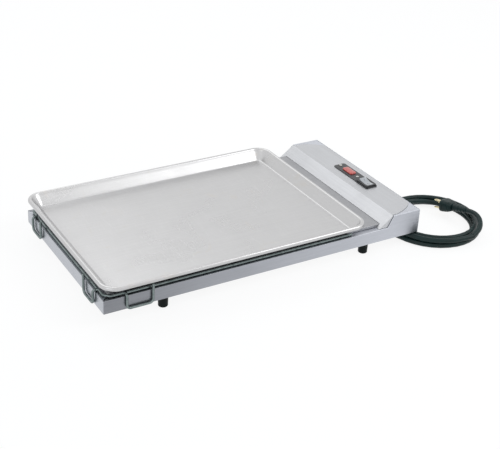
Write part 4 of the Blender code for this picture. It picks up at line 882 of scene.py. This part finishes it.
def wires():
    for row, side in (("front", -1.0), ("back", 1.0)):
        face_y = side * (HALF_DEPTH + WIRE_OFFSET)
        ledge_y = side * (HALF_DEPTH - LEDGE_WIRE_INSET)
        face_x = LEFT - WIRE_OFFSET
        ledge_x = LEFT + LEDGE_WIRE_INSET
        ledge_z = PANEL_TOP + WIRE_OFFSET
        low_z = BASE_Z + WIRE_RADIUS
        leg_z = PANEL_TOP + GUARD_LEG_RISE
        leg_x = LEFT + GUARD_LEG_FROM_LEFT
        hook_x = LEFT + GUARD_HOOK_FROM_LEFT
        corner_x = LEFT + GUARD_CORNER
        corner_y = side * (HALF_DEPTH - GUARD_CORNER)
        hook_y = side * (HALF_DEPTH - GUARD_HOOK_FROM_FRONT)
        leg_y = side * (HALF_DEPTH - GUARD_LEG_FROM_FRONT)
        corners = (
            (leg_x, face_y, leg_z), (leg_x, face_y, low_z), (hook_x, face_y, low_z),
            (hook_x, face_y, ledge_z), (hook_x, ledge_y, ledge_z), (corner_x, ledge_y, ledge_z),
            (ledge_x, corner_y, ledge_z), (ledge_x, hook_y, ledge_z), (face_x, hook_y, ledge_z),
            (face_x, hook_y, low_z), (face_x, leg_y, low_z), (face_x, leg_y, leg_z),
        )
        loop, tight = WIRE_LOOP_BEND, WIRE_BEND
        bends = (loop, loop, tight, tight, loop, loop, tight, tight, loop, loop)
        name = "corner_guard_" + row
        mesh = swept(name + "_wire", bent_route(corners, bends), WIRE_RADIUS)
        add(name + "_wire", mesh, "dark_wire", [name])
    for name in ("rail_front", "rail_back", "rail_left"):
        low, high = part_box(name)
        middle = (low + high) / 2.0
        if name == "rail_left":
            ends = [Vector((middle.x, low.y, middle.z)), Vector((middle.x, high.y, middle.z))]
        else:
            ends = [Vector((low.x, middle.y, middle.z)), Vector((high.x, middle.y, middle.z))]
        points = [ends[0].lerp(ends[1], step / 24.0) for step in range(25)]
        add(name + "_wire", swept(name + "_wire", points, WIRE_RADIUS), "dark_wire", [name])


# Feet and screws

FOOT_BORE_RADIUS = 0.0023
FOOT_COLLAR = 0.0022
FOOT_RECESS_DEPTH = 0.0045


def feet():
    """Rubber feet with a collar under the base, a slight taper and a recess for the screw's head."""
    for row in ("front", "back"):
        for end in ("left", "right"):
            name = "foot_%s_%s" % (row, end)
            low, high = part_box(name)
            x, y = (low.x + high.x) / 2.0, (low.y + high.y) / 2.0
            top = high.z
            wide = (high.x - low.x) / 2.0
            profile = [
                (FOOT_BORE_RADIUS, top), (wide, top), (wide, top - FOOT_COLLAR),
                (wide - 0.0004, top - 0.0028), (wide - 0.0008, 0.0024), (wide - 0.0007, 0.0012),
                (wide - 0.0015, 0.0), (0.0056, 0.0),
                (0.0050, 0.0006), (0.0048, FOOT_RECESS_DEPTH), (FOOT_BORE_RADIUS, FOOT_RECESS_DEPTH),
            ]
            mesh = turned(name + "_rubber", softened(profile, 0.0006, 4), 56)
            add(name + "_rubber", mesh, "foot_rubber", [name], matrix=Matrix.Translation((x, y, 0.0)))
            paint(nodes["foot_screw_%s_%s" % (row, end)], "zinc_steel")
            paint(nodes["foot_nut_%s_%s" % (row, end)], "zinc_steel")
            eased("foot_screw_%s_%s" % (row, end), 0.00018, 2)
            eased("foot_nut_%s_%s" % (row, end), 0.0002, 2)


SCREW_HEAD = 0.0016
SCREW_HEAD_RADIUS = 0.0027
SCREW_SHANK_RADIUS = 0.0014
SCREW_SHANK = 0.007
SLOT_REACH = 0.006
SLOT_HALF_WIDTH = 0.00035
SLOT_DEPTH = 0.0007
SLOT_CLEAR = 0.002


def fine_screws():
    """Slotted screws with a low domed head, each slot at its own angle."""
    head, radius = SCREW_HEAD, SCREW_HEAD_RADIUS
    dome = [
        (radius * math.cos(math.radians(angle)), head * 0.42 + head * 0.58 * math.sin(math.radians(angle)))
        for angle in range(0, 90, 12)
    ]
    profile = [
        (0.0, -SCREW_SHANK), (SCREW_SHANK_RADIUS, -SCREW_SHANK), (SCREW_SHANK_RADIUS, TOUCH),
        (radius, TOUCH), *dome, (0.0, head),
    ]
    sideways = Matrix.Rotation(math.radians(90.0), 4, "Y")
    for name, slot_deg in (
        ("plate_screw_1", 24.0), ("plate_screw_2", -38.0), ("cover_screw_1", 61.0), ("cover_screw_2", 12.0),
    ):
        low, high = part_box(name)
        middle = (low + high) / 2.0
        if name.startswith("plate"):
            place = Matrix.Translation((middle.x, middle.y, high.z - head))
        else:
            place = Matrix.Translation((high.x - head, middle.y, middle.z)) @ sideways
        place = place @ Matrix.Rotation(math.radians(slot_deg), 4, "Z")
        screw = add(name + "_head", turned(name + "_head", profile, 48), "zinc_steel", [name], matrix=place)
        slot_low = (-SLOT_REACH, -SLOT_HALF_WIDTH, head - SLOT_DEPTH)
        slot_high = (SLOT_REACH, SLOT_HALF_WIDTH, head + SLOT_CLEAR)
        carve(screw, [cutter("slot", slot_low, slot_high, place)])


# Rocker and lens

ROCKER_LIFT = 0.0022
ROCKER_EDGE = 0.0034
ROCKER_MIDDLE = 0.0016
ROCKER_HALF_WIDTH = 0.0065
ROCKER_HALF_LENGTH = 0.0118
ROCKER_LENGTH_SHARE = 0.985
ROCKER_BELLY = 0.0045
ROCKER_REST_DEG = 7.0
LENS_CORNER = 0.0035
LENS_TIP_CORNER = 0.0008
LENS_DOME = 0.0026
MARK_RISE = 0.00004
MARK_HALF_WIDTH = 0.00028
MARK_HALF_LENGTH = 0.0021


def controls():
    pivot = next(Vector(joint["pos_m"]) for joint in frame["joints"] if joint["name"] == "rocker_hinge")
    lift, edge, middle = ROCKER_LIFT, ROCKER_EDGE, ROCKER_MIDDLE
    half_x, half_y = ROCKER_HALF_WIDTH, ROCKER_HALF_LENGTH
    top_steps = 14
    section = []
    for step in range(top_steps + 1):
        share = step / top_steps * 2.0 - 1.0
        section.append((half_y * share * ROCKER_LENGTH_SHARE, rocker_height(share)))
    shoulder = lift + (edge - middle) * 0.72
    belly = lift - ROCKER_BELLY - middle
    section.extend([
        (half_y, shoulder), (half_y, -lift / 2.0), (half_y * 0.6, belly),
        (-half_y * 0.6, belly), (-half_y, -lift / 2.0), (-half_y, shoulder),
    ])
    rings = []
    for x, drop in ((-half_x, 0.0005), (-half_x + 0.00012, 0.0002), (-half_x + 0.0005, 0.0),
                    (half_x - 0.0005, 0.0), (half_x - 0.00012, 0.0002), (half_x, 0.0005)):
        ring = []
        for number, (y, z) in enumerate(section):
            ring.append(Vector((x, y * (1.0 - drop / half_y), z - (drop if number <= top_steps else 0.0))))
        rings.append(ring)
    matrix = Matrix.Translation(pivot) @ Matrix.Rotation(math.radians(ROCKER_REST_DEG), 4, "X")
    add("rocker_cap", lofted("rocker_cap", rings), "rocker_grey", ["power_rocker"], "rocker", 25.0, matrix)
    mark_rocker(matrix)

    low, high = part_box("pilot_lens")
    wide, deep = high.x - low.x, high.y - low.y
    base = high.z - LENS_DOME
    rings = []
    for rise, inset in ((-0.0004, 0.0002), (0.0, 0.0), (0.0009, 0.0), (0.0014, 0.00012), (0.0018, 0.0004),
                        (0.0021, 0.0009), (0.00235, 0.0017), (0.0025, 0.0028), (0.0026, 0.0042)):
        corner = max(LENS_TIP_CORNER, LENS_CORNER - inset * 0.6)
        outline = rounded_rectangle(wide - inset * 2.0, deep - inset * 2.0, corner, 7)
        rings.append([Vector((a, b, base + rise)) for a, b in outline])
    place = Matrix.Translation(((low.x + high.x) / 2.0, (low.y + high.y) / 2.0, 0.0))
    add("pilot_lens_dome", lofted("pilot_lens_dome", rings), "lens_red", ["pilot_lens"], matrix=place)


def rocker_height(share):
    """The rocker's top over its length: two hollow halves that meet on a soft ridge."""
    rise = ROCKER_EDGE - ROCKER_MIDDLE
    hollow = 0.00045 * math.sin(math.pi * abs(share))
    tip = max(0.0, abs(share) - 0.93) / 0.07
    return ROCKER_LIFT + rise * abs(share) - hollow - 0.0003 * tip ** 2


def mark_rocker(matrix):
    """The usual bar and ring that say on and off, printed on the rocker's two ends."""
    def on_top(x, y):
        share = y / ROCKER_HALF_LENGTH / ROCKER_LENGTH_SHARE
        return Vector((x, y, rocker_height(share) + MARK_RISE))

    bar_y, ring_y = ROCKER_HALF_LENGTH * 0.55, -ROCKER_HALF_LENGTH * 0.55
    rows = 6
    rings = []
    for step in range(rows + 1):
        y = bar_y - MARK_HALF_LENGTH + MARK_HALF_LENGTH * 2.0 * step / rows
        rings.append([on_top(-MARK_HALF_WIDTH, y), on_top(MARK_HALF_WIDTH, y)])
    bm = bmesh.new()
    made = [[bm.verts.new(point) for point in ring] for ring in rings]
    for first, second in zip(made, made[1:]):
        bm.faces.new((first[0], first[1], second[1], second[0]))
    add("rocker_mark_on", mesh_of(bm, "rocker_mark_on"), "mark_ink", [], "rocker", 60.0, matrix)
    bm = bmesh.new()
    count = 40
    inner, outer = [], []
    for step in range(count):
        angle = math.tau * step / count
        x, y = math.cos(angle), math.sin(angle)
        inner.append(bm.verts.new(on_top(x * 0.00135, ring_y + y * 0.0015)))
        outer.append(bm.verts.new(on_top(x * 0.0019, ring_y + y * 0.0021)))
    for step in range(count):
        after = (step + 1) % count
        bm.faces.new((inner[step], outer[step], outer[after], inner[after]))
    add("rocker_mark_off", mesh_of(bm, "rocker_mark_off"), "mark_ink", [], "rocker", 60.0, matrix)


# Sheet pan

RIM_START_DEG = 25.0
RIM_SWEEP_DEG = 275.0
RIM_STEPS = 22


def sheet_pan():
    """A pressed pan with a rolled bead round its rim."""
    low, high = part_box("sheet_pan")
    length, depth, height = high.x - low.x, high.y - low.y, high.z - low.z
    centre = ((low.x + high.x) / 2.0, (low.y + high.y) / 2.0)
    sheet, floor_inset, blend, blend_rise = 0.001, 0.017, 0.0035, 0.0022
    bead, wall_inset, wall_drop, corner = 0.0036, 0.008, 0.0055, 0.026
    run = floor_inset - wall_inset
    rise = height - wall_drop - blend_rise
    lean = math.hypot(run, rise)
    across = Vector((sheet * rise / lean, sheet * run / lean))
    wall_low = Vector((floor_inset, blend_rise))
    wall_high = Vector((wall_inset, height - wall_drop))
    edge = Vector((floor_inset + blend, 0.0))
    corner_point = Vector((floor_inset + blend * 0.25, blend_rise * 0.12))
    rim_start = math.radians(RIM_START_DEG)

    def bend(first, middle, last, steps=6):
        return [
            first.lerp(middle, step / steps).lerp(middle.lerp(last, step / steps), step / steps)
            for step in range(steps + 1)
        ]

    inside = bend(edge + Vector((sheet * 0.3, sheet)), corner_point + across * 1.2, wall_low + across)
    wall = [(wall_low + across).lerp(wall_high + across, step / 6.0) for step in range(1, 6)]
    top_bend = bend(
        wall_high + across, wall_high + across + (wall_high - wall_low).normalized() * 0.0011,
        Vector((bead * (1.0 + math.cos(rim_start)), height - bead * (1.0 - math.sin(rim_start)))), 4,
    )
    rim = []
    for step in range(1, RIM_STEPS + 1):
        angle = math.radians(RIM_START_DEG + RIM_SWEEP_DEG * step / RIM_STEPS)
        rim.append(Vector((bead * (1.0 + math.cos(angle)), height - bead * (1.0 - math.sin(angle)))))
    outside = [wall_high.lerp(wall_low, step / 6.0) for step in range(7)]
    under = bend(wall_low, corner_point, edge)[1:]
    profile = [*inside, *wall, *top_bend, *rim, *outside, *under]
    rings = []
    for inset, level in profile:
        outline = rounded_rectangle(length - 2.0 * inset, depth - 2.0 * inset, corner - inset, 14)
        rings.append([Vector((centre[0] + x, centre[1] + y, low.z + level)) for x, y in outline])
    bm = bmesh.new()
    made = [[bm.verts.new(point) for point in ring] for ring in rings]
    skin(bm, made)
    pan_floor(bm, made[0], centre, low.z + sheet, True)
    pan_floor(bm, made[-1], centre, low.z, False)
    return add("sheet_pan_fine", mesh_of(bm, "sheet_pan_fine"), "pan_aluminium", ["sheet_pan"], "pan", 40.0)


def pan_floor(bm, ring, centre, level, dished):
    """A floor in rings towards the middle, with the slight unevenness of a used pan."""
    previous = ring
    steps = 12
    for step in range(1, steps):
        share = 1.0 - step / steps
        following = []
        for vert in ring:
            x = centre[0] + (vert.co.x - centre[0]) * share
            y = centre[1] + (vert.co.y - centre[1]) * share
            lift = 0.0
            if dished:
                fade = min(1.0, (1.0 - share) * 4.0)
                lift = fade * (0.00013 * math.sin(x * 31.0 + 0.8) * math.cos(y * 37.0 + 0.4)
                               + 0.00007 * math.sin(x * 83.0) * math.sin(y * 71.0 + 1.0))
            following.append(bm.verts.new((x, y, level + lift)))
        for number, vert in enumerate(previous):
            after = (number + 1) % len(previous)
            bm.faces.new((vert, previous[after], following[after], following[number]))
        previous = following
    bm.faces.new(previous)


# Housing pieces that keep their CAD shape

def housing():
    for node in ("front_panel", "back_panel"):
        paint(eased(node, 0.0006), "housing_steel")
    for node in ("left_end_panel", "right_end_panel"):
        paint(eased(node, 0.0006), "end_steel")
    paint(eased("base_pan", 0.0004), "base_steel")
    paint(eased("shelf_plate", 0.0007), "shelf_aluminium")
    paint(eased("control_cover", 0.0004), "cover_steel")
    paint(eased("control_plate", 0.00022, 2), "control_black")
    paint(eased("switch_body", 0.0003), "switch_black")
    paint(eased("bay_divider", 0.0003), "zinc_steel")
    paint(eased("heater_blanket", 0.0003), "heater_silicone")
    paint(eased("insulation_pad", 0.0015), "insulation_fibre")
    paint(eased("thermostat", 0.0003), "phenolic")
    paint(eased("terminal_block", 0.0004), "nylon")
    paint(eased("pilot_lamp", 0.0005), "switch_black")
    for node, surface in (
        ("thermostat_lead", "lead_red"), ("switch_lead", "lead_black"),
        ("lamp_lead", "lead_white"), ("supply_lead", "lead_green"),
    ):
        paint(nodes[node], surface)


# Floor, world and lamps

def light_path(tree, kinds):
    """1 for the kinds of ray that should see the plain white backdrop."""
    path = tree.nodes.new("ShaderNodeLightPath")
    total = None
    for kind in kinds:
        socket = path.outputs[kind]
        if total is None:
            total = socket
            continue
        step = tree.nodes.new("ShaderNodeMath")
        step.operation = "MAXIMUM"
        tree.links.new(total, step.inputs[0])
        tree.links.new(socket, step.inputs[1])
        total = step.outputs[0]
    return total


SEEN_RAYS = ("Is Camera Ray", "Is Glossy Ray", "Is Transmission Ray")


def world():
    made = bpy.data.worlds.new("studio")
    made.use_nodes = True
    tree = made.node_tree
    tree.nodes.clear()
    output = tree.nodes.new("ShaderNodeOutputWorld")
    seen = tree.nodes.new("ShaderNodeBackground")
    seen.inputs["Color"].default_value = (1.0, 1.0, 1.0, 1.0)
    seen.inputs["Strength"].default_value = 1.0
    light = tree.nodes.new("ShaderNodeBackground")
    light.inputs["Color"].default_value = (0.93, 0.96, 1.0, 1.0)
    light.inputs["Strength"].default_value = 0.55
    blend = tree.nodes.new("ShaderNodeMixShader")
    tree.links.new(light_path(tree, SEEN_RAYS), blend.inputs["Fac"])
    tree.links.new(light.outputs[0], blend.inputs[1])
    tree.links.new(seen.outputs[0], blend.inputs[2])
    tree.links.new(blend.outputs[0], output.inputs["Surface"])
    bpy.context.scene.world = made


def floor():
    bm = bmesh.new()
    bmesh.ops.create_grid(bm, x_segments=1, y_segments=1, size=6.0)
    mesh = mesh_of(bm, "floor")
    item = bpy.data.objects.new("floor", mesh)
    item.location = (0.0, 0.0, -0.0002)
    bpy.context.scene.collection.objects.link(item)
    surface = bpy.data.materials.new("floor_white")
    surface.use_nodes = True
    tree = surface.node_tree
    tree.nodes.clear()
    output = tree.nodes.new("ShaderNodeOutputMaterial")
    diffuse = tree.nodes.new("ShaderNodeBsdfDiffuse")
    diffuse.inputs["Color"].default_value = (0.80, 0.80, 0.80, 1.0)
    glow = tree.nodes.new("ShaderNodeEmission")
    glow.inputs["Color"].default_value = (1.0, 1.0, 1.0, 1.0)
    glow.inputs["Strength"].default_value = 1.14
    share = tree.nodes.new("ShaderNodeMath")
    share.operation = "MULTIPLY"
    share.inputs[1].default_value = 0.76
    tree.links.new(light_path(tree, SEEN_RAYS), share.inputs[0])
    blend = tree.nodes.new("ShaderNodeMixShader")
    tree.links.new(share.outputs[0], blend.inputs["Fac"])
    tree.links.new(diffuse.outputs[0], blend.inputs[1])
    tree.links.new(glow.outputs[0], blend.inputs[2])
    tree.links.new(blend.outputs[0], output.inputs["Surface"])
    mesh.materials.append(surface)


def lamp(name, place, target, size, power, colour=(1.0, 1.0, 1.0)):
    data = bpy.data.lights.new(name, "AREA")
    data.shape = "DISK"
    data.size = size
    data.energy = power
    data.color = colour
    item = bpy.data.objects.new(name, data)
    item.location = place
    item.rotation_mode = "QUATERNION"
    item.rotation_quaternion = (Vector(target) - Vector(place)).to_track_quat("-Z", "Y")
    bpy.context.scene.collection.objects.link(item)


def lamps():
    lamp("key", (1.3, -0.9, 1.5), (0.0, 0.0, 0.03), 1.1, 7.0)
    lamp("fill", (-1.6, -0.9, 1.1), (0.0, 0.0, 0.03), 1.4, 2.5, (0.94, 0.97, 1.0))
    lamp("top", (0.1, 1.2, 1.7), (0.0, 0.0, 0.03), 1.4, 4.0)


bpy.context.scene.view_settings.view_transform = "Standard"
set_camera()
world()
floor()
lamps()
cord, cord_line = power_cord()
relief = strain_relief()
plug = plug_pieces()
wires()
feet()
fine_screws()
controls()
sheet_pan()
housing()
